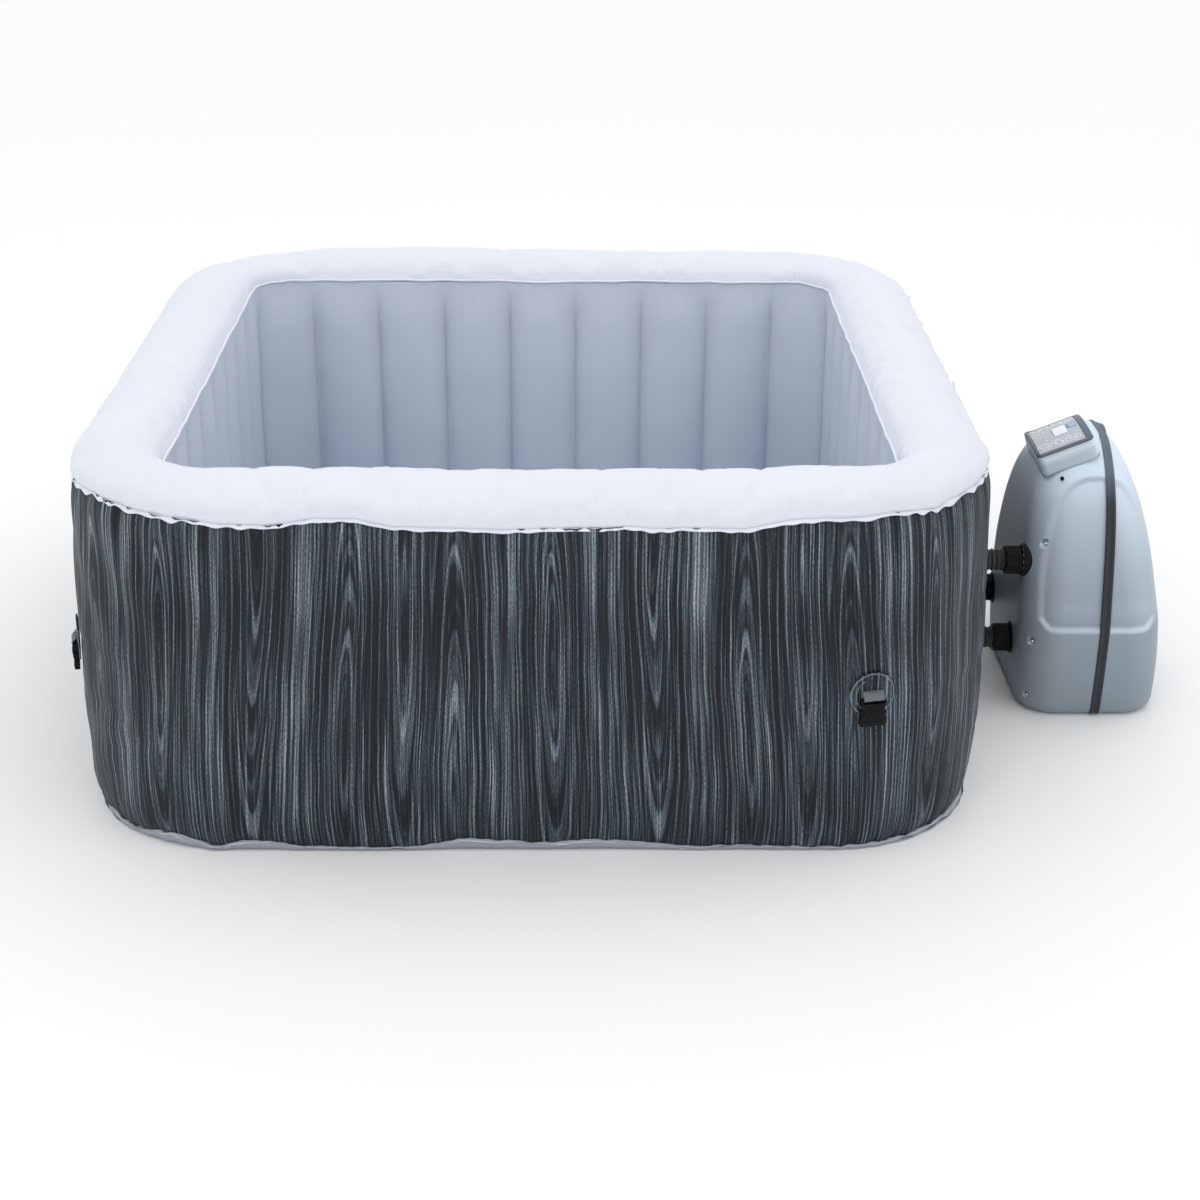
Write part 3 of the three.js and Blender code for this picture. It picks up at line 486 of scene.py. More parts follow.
# u has to grow along the loop, so it is counted on from the first column
UV[..., 0] = US[0] + (US[:, None] - US[0]) + 0 * UV[..., 0]
wall = grid("outer_wall_skin", P, True, False, UV, [WOOD])
modify(wall, "SOLIDIFY", thickness=0.0012, offset=-1)
put(wall, "root", "wood_print", "outer_wall")

# ---- top rim: one inflated arch from the outer weld to the inner weld
NR = 40  # 3 * 13 + 1, so that every third row meets both welds


def inner_loop(p, e=0.0):
    return loop(0.610 + e, 0.088 + e, p)


def rim_points(n=NR, lift=0.0):
    t = np.linspace(0, pi, n)[None, :]
    p = PS[:, None] + 0 * t
    zs = ZS[:, None]
    zi = 0.600 + 0.0012 * n1(PS, 30, 61)[:, None] + 0.0006 * n1(PS, 110, 62)[:, None]
    do = (wall_d(ZS) - 0.0062)[:, None]
    xo, yo, nx, ny = loop(WA, 0.306, PS)
    xo, yo = (xo + nx * do[:, 0])[:, None], (yo + ny * do[:, 0])[:, None]
    xi, yi, mx, my = inner_loop(PS)
    xi, yi = xi[:, None], yi[:, None]
    w = (1 - np.cos(t)) / 2
    # the sheet leaves each weld steeply and is fullest a little outside the middle
    w = w - 0.035 * np.sin(t) ** 2
    st = np.sin(t)
    h = 0.0490 + 0.0020 * n2(p, w, 12, 2, 63) + 0.0005 * n2(p, w, 37, 3, 64)
    z = zs + (zi - zs) * w + h * st**0.88 + lift
    g = GAIN[:, None]
    wo, wi = np.exp(-w / 0.10), np.exp(-(1 - w) / 0.085)
    rip = g * (0.0012 * PUCK[:, None] * np.exp(-w / 0.035) + 0.0014 * PUCK2[:, None] * np.exp(-w / 0.07))
    inner_c = sum(near(US[:, None] + 0 * t, PERIM / 8 + k * PERIM / 4, 0.16) for k in range(4))
    P3 = np.roll(ripple(PS, 172, 71), 5)[:, None]
    rip2 = (0.0002 + 0.0012 * inner_c) * P3 * wi
    # fine drawn wrinkles that run across the rim
    fine = 0.0003 * g * n2(p, w, 260, 2, 65) * np.sin(t) ** 0.5 + 0.0003 * n2(p, w, 70, 4, 66) * st
    n = (rip + rip2 + fine) * np.clip(st * 3, 0, 1) ** 0.6
    out = np.cos(t)
    X = xo + (xi - xo) * w
    Y = yo + (yi - yo) * w
    hx, hy = nx[:, None] * (1 - w) + mx[:, None] * w, ny[:, None] * (1 - w) + my[:, None] * w
    X, Y, Z = X + hx * n * out, Y + hy * n * out, z + n * st
    # a slight outward roll above the outer weld
    roll = 0.004 * np.exp(-(((t - 0.45) / 0.35) ** 2)) * (0.7 + 0.5 * g)
    return np.stack([X + nx[:, None] * roll, Y + ny[:, None] * roll, Z], -1)


RP = rim_points()


def puff(P, steps=16, pressure=1.6, cap=0.0045):
    """Inflates the open arch with Blender's cloth, its two welds pinned, and gives back the settled points."""
    n, m = P.shape[:2]
    ob = grid("puff_tmp", P, True, False)
    vg = ob.vertex_groups.new(name="pin")
    edge = [i * m + j for i in range(n) for j in (0, m - 1)]
    vg.add(edge, 1.0, "REPLACE")
    c = ob.modifiers.new("cloth", "CLOTH")
    s = c.settings
    s.vertex_group_mass = "pin"
    s.quality = 5
    s.mass = 0.35
    s.tension_stiffness = s.compression_stiffness = 22
    s.shear_stiffness = 9
    s.bending_stiffness = 0.35
    s.shrink_min = -0.018  # a little spare sheet, so that it gathers in real wrinkles
    s.use_pressure = True
    s.uniform_pressure_force = pressure
    s.effector_weights.gravity = 0
    c.collision_settings.use_collision = False
    c.point_cache.frame_start, c.point_cache.frame_end = 1, steps
    sc = bpy.context.scene
    sc.frame_start, sc.frame_end = 1, steps
    for f in range(1, steps + 1):
        sc.frame_set(f)
    dg = bpy.context.evaluated_depsgraph_get()
    me = ob.evaluated_get(dg).to_mesh()
    co = np.zeros(len(me.vertices) * 3, np.float32)
    me.vertices.foreach_get("co", co)
    bpy.data.objects.remove(ob)
    sc.frame_set(1)
    Q = co.reshape(n, m, 3).astype(float)
    D = Q - P
    L = np.linalg.norm(D, axis=-1, keepdims=True)
    L[~np.isfinite(L)] = 0
    return P + np.nan_to_num(D) * np.minimum(1, cap / np.maximum(L, 1e-9))


KC, RC = 2, 3
coarse = RP[::KC, ::RC]
moved = puff(coarse) - coarse
cc = np.arange(NP) / KC
i0 = np.floor(cc).astype(int)
fr = (cc - i0)[:, None, None]
a = moved[i0 % len(coarse)] * (1 - fr) + moved[(i0 + 1) % len(coarse)] * fr
rr_ = np.arange(NR) / RC
j0 = np.clip(np.floor(rr_).astype(int), 0, coarse.shape[1] - 2)
gr = (rr_ - j0)[None, :, None]
RP = RP + a[:, j0] * (1 - gr) + a[:, j0 + 1] * gr
P = RP
uv = np.stack([US[:, None] + 0 * P[..., 0], P[..., 2]], -1)
rim = grid("top_rim_skin", P, True, False, uv, [RIM], flip=True)
outward_dir = None
modify(rim, "SOLIDIFY", thickness=0.0012, offset=-1)
put(rim, "root", "rim_white", "top_rim")


# ---- weld edges
def ribbon(name, base, rows, mat, th=0.0009):
    """A strip round the tub: rows are (out, up) arrays from its root edge base = (x, y, nx, ny, z)."""
    x, y, nx, ny, z = base
    P = np.stack([np.stack([x + nx * o, y + ny * o, z + h], -1) for o, h in rows], 1)
    ob = grid(name, P, True, False, mats=[mat])
    modify(ob, "SOLIDIFY", thickness=th, offset=0)
    return ob


xo, yo, nx, ny = loop(WA, 0.306, PS)
do = wall_d(ZS) - 0.0066
FAR = sstep(0.92, 1.15, np.abs((US + PERIM / 2) % PERIM - PERIM / 2))  # away from the front
ruff = (ripple(PS, 150, 81, 0.5) * (0.0028 + 0.0030 * FAR) + ripple(PS, 61, 91, 0.5) * (0.0022 + 0.0024 * FAR)) * GAIN * np.clip(GAIN, 0.35, 1.2)
jag = 0.0012 * n1(PS, 420, 95) * GAIN
width = 0.0060 + 0.0028 * np.clip(GAIN - 0.4, 0, 1) + 0.0022 * n1(PS, 170, 96) * np.clip(GAIN, 0.2, 1.3) + jag + 0.0065 * FAR + 0.0045 * FAR * ripple(PS, 96, 83, 0.6)
rows = [(do - 0.009 + 0 * width, 0 * ruff + 0.0012), (do - 0.0035 + 0 * width, 0 * ruff + 0.0008)]
for k in np.linspace(0.12, 1, 6):
    rows.append((do + width * k * 0.85 + 0.0010 * k, 0.0006 - 0.0046 * k**1.2 + 0.0060 * FAR * k + ruff * k**2.2))
fl = ribbon("rim_weld_edge", (xo, yo, nx, ny, ZS), rows, FLANGE)
put(fl, "root", "rim_white")

xb, yb, bx, by = loop(WA, 0.268, PS)
db = wall_d(ZB) - 0.0062
ruffb = ripple(PS, 132, 101, 0.5) * 0.0022 * GAIN
widthb = 0.0065 + 0.002 * n1(PS, 150, 97)
rows = [(db - 0.003, 0 * db + 0.0005)]
for k in np.linspace(0.2, 1, 4):
    rows.append((db + widthb * k, -0.0022 * k + np.clip(ruffb, -0.0015, 0.004) * k))
zbase = np.maximum(ZB, 0.0048)
flb = ribbon("base_weld_edge", (xb, yb, bx, by, zbase), rows, FLANGE)
put(flb, "root", "base_grey")

# ---- ground sheet: turns up at its rim to meet the lower weld
cols = []
for d, zf in ((-0.055, 0.0), (-0.030, 0.0), (-0.020, 0.02), (-0.0125, 0.16), (-0.0085, 0.5), (-0.0075, 1.0)):
    cols.append((d + 0 * ZB + (0.0010 * np.roll(PUCK2, 7) * GAIN if zf > 0.1 else 0), 0.0006 + (ZB - 0.0012) * zf))
P = np.stack([np.stack([xb + bx * o, yb + by * o, h], -1) for o, h in cols], 1)
bands = [P]
for k in (0.93, 0.8, 0.6, 0.35, 0.12):
    bands.insert(0, np.stack([P[:, 0, 0] * k, P[:, 0, 1] * k, 0.0006 + 0.0004 * np.abs(n2(PS, 0 * PS + k, 60, 4, 111))], -1)[:, None])
P = np.concatenate(bands, 1)
gs = grid("ground_sheet_skin", P, True, False, mats=[BASEV], flip=False)
bm = bmesh.new()
bm.from_mesh(gs.data)
bmesh.ops.holes_fill(bm, edges=[e for e in bm.edges if e.is_boundary and all(v.co.xy.length < 0.2 for v in e.verts)], sides=0)
bmesh.ops.recalc_face_normals(bm, faces=bm.faces)
bm.to_mesh(gs.data)
bm.free()
gs.data.polygons.foreach_set("use_smooth", np.ones(len(gs.data.polygons), bool))
modify(gs, "SOLIDIFY", thickness=0.0006, offset=0)
put(gs, "root", "base_grey", "ground_sheet")

# ---- inner wall: upright air cells between welded creases
FL = 34


def along_inner(u, a=0.622, r=0.100):
    """Share u from the middle of +Y, by length, as the frame has it."""
    L, q = 2 * (a - r), pi / 2 * r
    T = 4 * (L + q)
    s = (u % 1) * T + L / 2
    X, Y, NX, NY = (np.zeros_like(s) for _ in range(4))
    ang = pi / 2
    left = np.ones(s.shape, bool)
    for _ in range(5):
        n = (math.cos(ang), math.sin(ang))
        d = (-n[1], n[0])
        m = left & (s <= L)
        X[m], Y[m] = n[0] * a + d[0] * (s[m] - L / 2), n[1] * a + d[1] * (s[m] - L / 2)
        NX[m], NY[m] = n
        left &= ~m
        s = np.where(left, s - L, s)
        m = left & (s <= q)
        tt = ang + s / r
        cx, cy = (n[0] + d[0]) * (a - r), (n[1] + d[1]) * (a - r)
        X[m], Y[m] = cx + r * np.cos(tt[m]), cy + r * np.sin(tt[m])
        NX[m], NY[m] = np.cos(tt[m]), np.sin(tt[m])
        left &= ~m
        s = np.where(left, s - q, s)
        ang += pi / 2
    return X, Y, NX, NY


NI, NZ = FL * 26, 54
ui = (np.arange(NI) / NI)[:, None]
v = np.linspace(0, 1, NZ)[None, :]
v = v - 0.085 * np.sin(2 * pi * v)
z = 0.0125 + (0.600 - 0.0125) * v + 0 * ui
ph = pi * FL * (ui + 0.5 / FL)
ph = ph + 0.10 * n2(ui + 0 * v, v, 40, 3, 121)  # the welds wander a little
f = np.abs(np.sin(ph)) ** 0.62
kt = sstep(0.604, 0.500, z)
kb = sstep(0.0125, 0.055, z)
k = kt * kb
cell = n1(ui + 0.5 / FL, FL, 122)
d = -((1 - k) * 0.012 + k * (f * (0.0185 + 0.0016 * cell)))
# wrinkles that fan out of each crease's ends, and faint sideways draws along it
cr = np.exp(-(((np.arcsin(np.clip(np.abs(np.sin(ph)), 0, 1))) / 0.30) ** 2))
d = d + 0.0011 * cr * np.sin(z * 2 * pi / 0.034 + 5 * n1(ui, FL * 2, 123)) * k
d = d + 0.0010 * n2(ui + 0 * v, v, 68, 9, 124) * k + 0.0012 * n2(ui + 0 * v, v, 30, 4, 125)
fan = np.exp(-((0.600 - z) / 0.05)) * np.sin(2 * pi * (FL * 5 * ui + 0.6 * n1(ui, 90, 126)))
d = d + 0.0011 * fan * sstep(0.600, 0.590, z)
X, Y, NX, NY = along_inner(ui)
P = np.stack([X + NX * d, Y + NY * d, z], -1)
iw = grid("inner_wall_skin", P, True, False, np.stack([ui * 4.7 + 0 * z, z], -1), [CELLS], flip=True)
modify(iw, "SOLIDIFY", thickness=0.0011, offset=-1)
put(iw, "root", "liner_grey", "inner_wall")

# bright welt along the inner weld
xi, yi, mx, my = inner_loop(PS)
zi = 0.600 + 0.0012 * n1(PS, 30, 61) + 0.0006 * n1(PS, 110, 62)
wob = 0.0009 * n1(PS, 150, 131)
sec = []
for a in np.linspace(0, 2 * pi, 8, endpoint=False):
    e = -0.0016 + 0.0030 * math.cos(a) + wob
    sec.append(np.stack([xi + mx * e, yi + my * e, zi + 0.0018 + 0.0026 * math.sin(a) + wob], -1))
welt = grid("inner_weld_welt", np.stack(sec, 1), True, True, mats=[FLANGE])
outward(welt)
put(welt, "root", "rim_white")

# ---- floor of the tub: quilted over the foam pad
NF = 120
th = np.arange(480) / 480
rad = np.linspace(0.0, 1, 100)[1:]
fx, fy, _, _ = loop(0.6085, 0.094, th)
X, Y = fx[:, None] * rad, fy[:, None] * rad
q = (np.abs(np.sin(pi * (X + Y) / 0.17)) * np.abs(np.sin(pi * (X - Y) / 0.17))) ** 0.45
edge = sstep(1.0, 0.93, rad)[None, :]
Z = 0.0112 + 0.0034 * q * edge + 0.0005 * n2(th[:, None] + 0 * rad, rad[None, :] + 0 * X, 30, 6, 141)
lf = grid("liner_floor_skin", np.stack([X, Y, Z], -1), True, False, mats=[FLOORV])
bm = bmesh.new()
bm.from_mesh(lf.data)
bmesh.ops.holes_fill(bm, edges=[e for e in bm.edges if e.is_boundary and all(v.co.xy.length < 0.1 for v in e.verts)], sides=0)
bmesh.ops.recalc_face_normals(bm, faces=bm.faces)
bm.to_mesh(lf.data)
bm.free()
lf.data.polygons.foreach_set("use_smooth", np.ones(len(lf.data.polygons), bool))
modify(lf, "SOLIDIFY", thickness=0.0010, offset=-1)
put(lf, "root", "liner_grey", "liner_floor")

# bubble channel: a soft tube with welded edges and a row of pinprick-topped domes
rows = []
lx, ly, kx, ky = loop(0.584, 0.070, PS)
jets = np.cos(2 * pi * 44 * PS)
jet = np.clip((jets - 0.86) / 0.14, 0, 1)
for o, h in ((0.0165, 0.0150), (0.0125, 0.0158), (0.0105, 0.0185), (0.0095, 0.024), (0.0075, 0.0290), (0.0040, 0.0322), (0.0, 0.0334), (-0.0040, 0.0322), (-0.0075, 0.0290), (-0.0095, 0.024), (-0.0105, 0.0185), (-0.0125, 0.0158), (-0.0165, 0.0150)):
    top = math.exp(-((o / 0.004) ** 2))
    hh = h + 0.0007 * n1(PS, 120, 151) + top * (0.0016 * jet - 0.0042 * np.clip((jets - 0.985) / 0.015, 0, 1))
    rows.append(np.stack([lx + kx * o, ly + ky * o, hh], -1))
rows += [np.stack([lx - kx * 0.0165, ly - ky * 0.0165, 0 * lx + 0.0141], -1), np.stack([lx + kx * 0.0165, ly + ky * 0.0165, 0 * lx + 0.0141], -1)]
bub = grid("bubble_ring_skin", np.stack(rows, 1), True, True, mats=[FLOORV])
outward(bub)
put(bub, "root", "liner_grey", "bubble_ring")


# ---------------------------------------------------------------- buckles and their patches
BLACK = plain("black_plastic_satin", (0.0045, 0.0055, 0.0070), (0.0085, 0.0098, 0.012), 0.48, 40, 2600, 0.00015, spec=0.10, edge=0.10)
PATCH = wood_print()
PATCH.name = "patch_print_vinyl"


def webbing():
    """Flat woven strap: ribs along, fine herringbone across."""
    g = Graph("grey_webbing")
    uvn = g.node("ShaderNodeUVMap")
    uvn.uv_map = "grain"
    uv = uvn.outputs[0]
    w1 = g.node("ShaderNodeTexWave", {"Vector": g.scaled(uv, (1, 0.5, 1)), "Scale": 190.0, "Distortion": 0.4, "Detail": 1.0}, bands_direction="X").outputs[1]
    w2 = g.node("ShaderNodeTexWave", {"Vector": uv, "Scale": 240.0, "Distortion": 0.6, "Detail": 1.0}, bands_direction="DIAGONAL").outputs[1]
    h = g.math("ADD", g.math("MULTIPLY", w1, 0.6), g.math("MULTIPLY", w2, 0.4))
    slow = g.noise(uv, 60, 3)
    c = g.mix(h, (0.075, 0.082, 0.095), (0.22, 0.235, 0.265))
    c = g.mix(g.math("MULTIPLY", slow, 0.4), c, (0.12, 0.13, 0.145))
    return g.out(Base_Color=c, Roughness=g.math("MULTIPLY_ADD", h, -0.15, 0.85), Normal=g.bump(h, 0.0005, 0.8))


WEB = webbing()
WELD = vinyl("patch_weld_vinyl", (0.25, 0.30, 0.33), (0.21, 0.25, 0.28), (0.0, 0.6), 0.4)


def extrude(name, pts, y0, y1, mats, bevel=0.0012, holes=(), seg=3):
    """Outline in (x, z), extruded from y0 to y1, with rounded edges."""
    cu = bpy.data.curves.new(name, "CURVE")
    cu.dimensions = "2D"
    cu.fill_mode = "BOTH"
    for loop_pts in (pts, *holes):
        sp = cu.splines.new("POLY")
        sp.points.add(len(loop_pts) - 1)
        for q, (x, z) in zip(sp.points, loop_pts):
            q.co = (x, z, 0, 1)
        sp.use_cyclic_u = True
    cu.extrude = abs(y1 - y0) / 2
    tmp = bpy.data.objects.new(name + "_c", cu)
    bpy.context.scene.collection.objects.link(tmp)
    bpy.context.view_layer.update()
    me = bpy.data.meshes.new_from_object(tmp.evaluated_get(bpy.context.evaluated_depsgraph_get()))
    bpy.data.objects.remove(tmp)
    me.transform(Matrix.Rotation(pi / 2, 4, "X"))
    me.transform(Matrix.Translation((0, (y0 + y1) / 2, 0)))
    bm = bmesh.new()
    bm.from_mesh(me)
    bmesh.ops.remove_doubles(bm, verts=bm.verts, dist=1e-5)
    bmesh.ops.dissolve_limit(bm, angle_limit=0.01, verts=bm.verts, edges=bm.edges)
    bmesh.ops.recalc_face_normals(bm, faces=bm.faces)
    bm.to_mesh(me)
    bm.free()
    me.materials.clear()
    ob = link(me, name, mats, True)
    if bevel:
        modify(ob, "BEVEL", width=bevel, segments=seg, limit_method="ANGLE", angle_limit=0.6, harden_normals=False)
    modify(ob, "WEIGHTED_NORMAL", keep_sharp=False)
    return ob


def rnd(pts, r, n=4):
    """Rounds the corners of a closed outline."""
    out = []
    m = len(pts)
    for i in range(m):
        a, b, c = (np.array(pts[(i + k) % m], float) for k in (-1, 0, 1))
        u, v = a - b, c - b
        lu, lv = np.linalg.norm(u), np.linalg.norm(v)
        rr = min(r, lu * 0.45, lv * 0.45)
        p, q = b + u / lu * rr, b + v / lv * rr
        for k in range(n + 1):
            t = k / n
            out.append(tuple((1 - t) ** 2 * p + 2 * t * (1 - t) * b + t * t * q))
    return out


def merge(name, obs):
    """Joins pieces into one mesh, modifiers applied."""
    dg = bpy.context.evaluated_depsgraph_get()
    bpy.context.view_layer.update()
    bm = bmesh.new()
    mats = []
    for o in obs:
        me = bpy.data.meshes.new_from_object(o.evaluated_get(dg))
        me.transform(o.matrix_world)
        idx = []
        for mt in me.materials:
            if mt not in mats:
                mats.append(mt)
            idx.append(mats.index(mt))
        k = len(bm.faces)
        bm.from_mesh(me)
        bm.faces.ensure_lookup_table()
        for f in bm.faces[k:]:
            f.material_index = idx[f.material_index] if idx else 0
    me = bpy.data.meshes.new(name)
    bm.to_mesh(me)
    bm.free()
    for o in obs:
        bpy.data.objects.remove(o)
    return link(me, name, mats, True)


def buckle_outline(k=1.0):
    half = [(0.0210, -0.0050), (0.0212, -0.0165), (0.0185, -0.0205), (0.0160, -0.0240), (0.0162, -0.0300), (0.0196, -0.0345), (0.0226, -0.0380), (0.0228, -0.0500), (0.0205, -0.0522)]
    return half + [(-x, z) for x, z in half[::-1]]


for k, side in enumerate(("front", "right", "rear", "left")):
    t = math.asin((0.549 - 0.485) / 0.285)
    rr = 0.285 + 0.0086
    at = Matrix.Rotation(k * pi / 2, 4, "Z") @ Matrix.Translation((0.485 + rr * math.sin(t), -0.485 - rr * math.cos(t), 0.297)) @ Matrix.Rotation(t, 4, "Z")
    # patch: a welded disc that follows the wall's curve, with a raised weld ring and an inner arc
    nr, na = 26, 96
    R = np.linspace(0.0008, 0.0392, nr)[None, :]
    A = (np.arange(na) * 2 * pi / na)[:, None]
    X, Z = R * np.cos(A), R * np.sin(A)
    Y = -0.0006 + 0.5 * X**2 / 0.30 * 0.55
    ring = np.exp(-(((R - 0.0363) / 0.0011) ** 2)) + 0.7 * np.exp(-(((R - 0.0338) / 0.0007) ** 2))
    arc = np.exp(-(((np.hypot(X, Z - 0.0) - 0.0275) / 0.0008) ** 2)) * (np.cos(A) < 0.35) * (np.sin(A) > -0.5)
    Y = Y - 0.0011 * ring - 0.0009 * arc - 0.0012 * np.exp(-((R / 0.022) ** 2)) - 0.0004 * n2(A / 2 / pi + 0 * R, R / 0.04 + 0 * A, 14, 4, 160 + k)
    Y = Y * np.where(R > 0.0385, 0.4, 1)
    uv = np.stack([X + 0.549 + 0.31 * k, Z + 0.297], -1)
    pt = grid("patch_skin_" + side, np.stack([X, Y, Z], -1), True, False, uv, [PATCH])
    u = pt.data.uv_layers["grain"]
    modify(pt, "SOLIDIFY", thickness=0.0012, offset=0)
    ringo = []
    for a in np.linspace(0, 2 * pi, 6, endpoint=False):
        q = 0.0365 + 0.0009 * math.cos(a) + 0.0003 * n1(np.arange(na) / na, 21, 170 + k)
        aa = A[:, 0]
        ringo.append(np.stack([q * np.cos(aa), -0.0018 + 0.5 * (q * np.cos(aa)) ** 2 / 0.30 * 0.55 + 0.0009 * math.sin(a), q * np.sin(aa)], -1))
    rg = grid("ring_tmp", np.stack(ringo, 1), True, True, mats=[WELD])
    outward(rg)
    # an open inner arc, the mark of the weld of the strap's anchor
    na2 = 40
    aa = np.linspace(math.radians(118), math.radians(245), na2)
    arco = []
    for a in np.linspace(0, 2 * pi, 6, endpoint=False):
        q = 0.0285 + 0.0006 * math.cos(a)
        arco.append(np.stack([q * np.cos(aa), -0.0026 + 0.5 * (q * np.cos(aa)) ** 2 / 0.30 * 0.55 + 0.0006 * math.sin(a) + 0 * aa, q * np.sin(aa)], -1))
    ag = grid("arc_tmp", np.stack(arco, 1), False, True, mats=[WELD], caps=True)
    outward(ag)
    pm = merge("patch_weld_" + side, [rg, ag])
    # webbing: down from a stitched tab, round the buckle's bar and back up
    path = [(-0.0026, 0.0078), (-0.0029, 0.0060), (-0.0033, 0.0025), (-0.0030, -0.0010), (-0.0024, -0.0040), (-0.0026, -0.0062), (-0.0050, -0.0086), (-0.0085, -0.0086), (-0.0118, -0.0066), (-0.0122, -0.0040), (-0.0100, -0.0005), (-0.0066, 0.0025), (-0.0052, 0.0045), (-0.0047, 0.0062), (-0.0044, 0.0078)]
    path = np.array(path)
    tt = np.linspace(0, len(path) - 1, 60)
    yy, zz = np.interp(tt, range(len(path)), path[:, 0]), np.interp(tt, range(len(path)), path[:, 1])
    ker = np.array([1, 2, 3, 2, 1]) / 9
    yy[2:-2], zz[2:-2] = np.convolve(yy, ker, "valid"), np.convolve(zz, ker, "valid")
    xs = np.linspace(-0.0175, 0.0175, 15)
    G = np.stack([np.repeat(xs[:, None], 60, 1), yy[None] + 0.0003 * np.cos(xs[:, None] * 300), np.repeat(zz[None], 15, 0)], -1)
    ln = np.concatenate([[0], np.cumsum(np.hypot(np.diff(yy), np.diff(zz)))])
    wuv = np.stack([G[..., 0], np.repeat(ln[None], 15, 0)], -1)
    wb = grid("strap_tab_" + side, G, False, False, wuv, [WEB])
    modify(wb, "SOLIDIFY", thickness=0.0009, offset=0)
    # stitched box on the tab
    st = []
    for x0, z0, x1, z1 in ((-0.0145, 0.0066, 0.0145, 0.0066), (-0.0145, 0.0042, 0.0145, 0.0042)):
        for i in range(11):
            a, b = (i + 0.15) / 11, (i + 0.85) / 11
            s0 = np.array([x0 + (x1 - x0) * a, -0.0056, z0])
            s1 = np.array([x0 + (x1 - x0) * b, -0.0056, z1])
            cs = []
            for c in np.linspace(0, 2 * pi, 5, endpoint=False):
                e = np.array([0, 0.00042 * math.cos(c), 0.00042 * math.sin(c)])
                cs.append(np.stack([s0 + e, (s0 + s1) / 2 + e * 1.2 + np.array([0, -0.0003, 0]), s1 + e]))
            S = grid("st", np.stack(cs, 1), False, True, mats=[WEB], caps=True)
            st.append(S)
    sm = merge("strap_stitch_" + side, st)
    for o in (pt, pm, wb, sm):
        o.matrix_world = at
        put(o, "root", "web_grey" if o in (wb, sm) else "patch_vinyl")
    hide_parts("buckle_patch_" + side)
    # side-release buckle: socket above, prongs below, ladder bar at each end
    y0, y1 = -0.0114, -0.0024
    sock = extrude("sock", rnd(buckle_outline(), 0.0016), y0, y1, [BLACK], 0.0012, holes=[rnd([(-0.0182, -0.0082), (-0.0182, -0.0128), (0.0182, -0.0128), (0.0182, -0.0082)], 0.001)])
    lens = []
    for sx in (-1, 1):
        lens.append(extrude("prong%d" % sx, rnd([(sx * 0.0165, -0.0222), (sx * 0.0215, -0.0262), (sx * 0.0222, -0.0318), (sx * 0.0200, -0.0345), (sx * 0.0168, -0.0320)], 0.0012), -0.0104, -0.0036, [BLACK], 0.0008))
    plate = extrude("bp", rnd([(-0.0125, -0.0165), (0.0125, -0.0165), (0.0140, -0.0310), (0.0100, -0.0360), (-0.0100, -0.0360), (-0.0140, -0.0310)], 0.003), -0.0126, -0.0108, [BLACK], 0.0008)
    rib = [extrude("br%d" % i, rnd([(-0.0080, z), (0.0080, z), (0.0080, z - 0.0011), (-0.0080, z - 0.0011)], 0.0004), -0.0134, -0.0120, [BLACK], 0.0003) for i, z in enumerate((-0.0205, -0.0235, -0.0265))]
    low = extrude("lb", rnd([(-0.0195, -0.0445), (0.0195, -0.0445), (0.0195, -0.0478), (-0.0195, -0.0478)], 0.001), -0.0122, -0.0110, [BLACK], 0.0005)
    bk = merge("buckle_body_" + side, [sock, *lens, plate, *rib, low])
    bk.matrix_world = at
    put(bk, "buckle_" + side, "black_plastic", "buckle_" + side)

# ---------------------------------------------------------------- hoses, nuts, fittings, valves
HOSE = plain("hose_black_rubbery", (0.013, 0.015, 0.018), (0.022, 0.025, 0.029), 0.5, 30, 1800, 0.0002, edge=0.5)
PORTS = {"outlet": (-0.190, 0.290), "inlet": (-0.150, 0.112), "air": (0.045, 0.132)}
for nm, (y, z) in PORTS.items():
    prof = [(0.7895, 0.0183)]
    n = 9
    for i in range(n * 8 + 1):
        s = i / 8
        prof.append((0.790 + s * 0.0092, 0.0196 + 0.0014 * math.cos(2 * pi * s + pi) ** 1 * (1 if 0.2 < s < n - 0.2 else 0.2)))
    prof += [(0.8735, 0.0190), (0.8855, 0.0190), (0.8855, 0.0183)]
    h = lathe_x("hose_" + nm, prof, y, z, 56, [HOSE])
    put(h, "root", "hose_black", nm + "_hose")

    def lobes(X, R, T):
        a = 0.5 + 0.5 * np.cos(8 * T)
        lob = np.clip((a - 0.55) / 0.25, 0, 1)
        on = ((X > 0.8755) & (X < 0.9005) & (R > 0.0235)).astype(float)
        return R + on * 0.0023 * lob * lob * (3 - 2 * lob)

    prof = [(0.8722, 0.0202), (0.8722, 0.0248), (0.8732, 0.0260), (0.8750, 0.0262), (0.8762, 0.0252), (0.8775, 0.0252), (0.8880, 0.0252), (0.8990, 0.0252), (0.9002, 0.0262), (0.9020, 0.0262), (0.9028, 0.0250), (0.9028, 0.0202)]
    nut = lathe_x("union_nut_" + nm, prof, y, z, 160, [BLACK], mod=lobes)
    put(nut, nm + "_nut", "hose_black", nm + "_nut")
    prof = [(0.588, 0.0142), (0.588, 0.0175), (0.772, 0.0175), (0.7735, 0.0300), (0.7768, 0.0318), (0.7855, 0.0318), (0.7874, 0.0300), (0.7880, 0.0250), (0.7892, 0.0222), (0.7892, 0.0182), (0.7885, 0.0178), (0.8058, 0.0176), (0.8058, 0.0142)]
    put(lathe_x("wall_fitting_" + nm, prof, y, z, 64, [BLACK], mod=lambda X, R, T: R - ((X > 0.7765) & (X < 0.786) & (R > 0.0305)) * 0.0008 * (np.cos(24 * T) > 0.2)), "root", "black_plastic", nm + "_fitting")

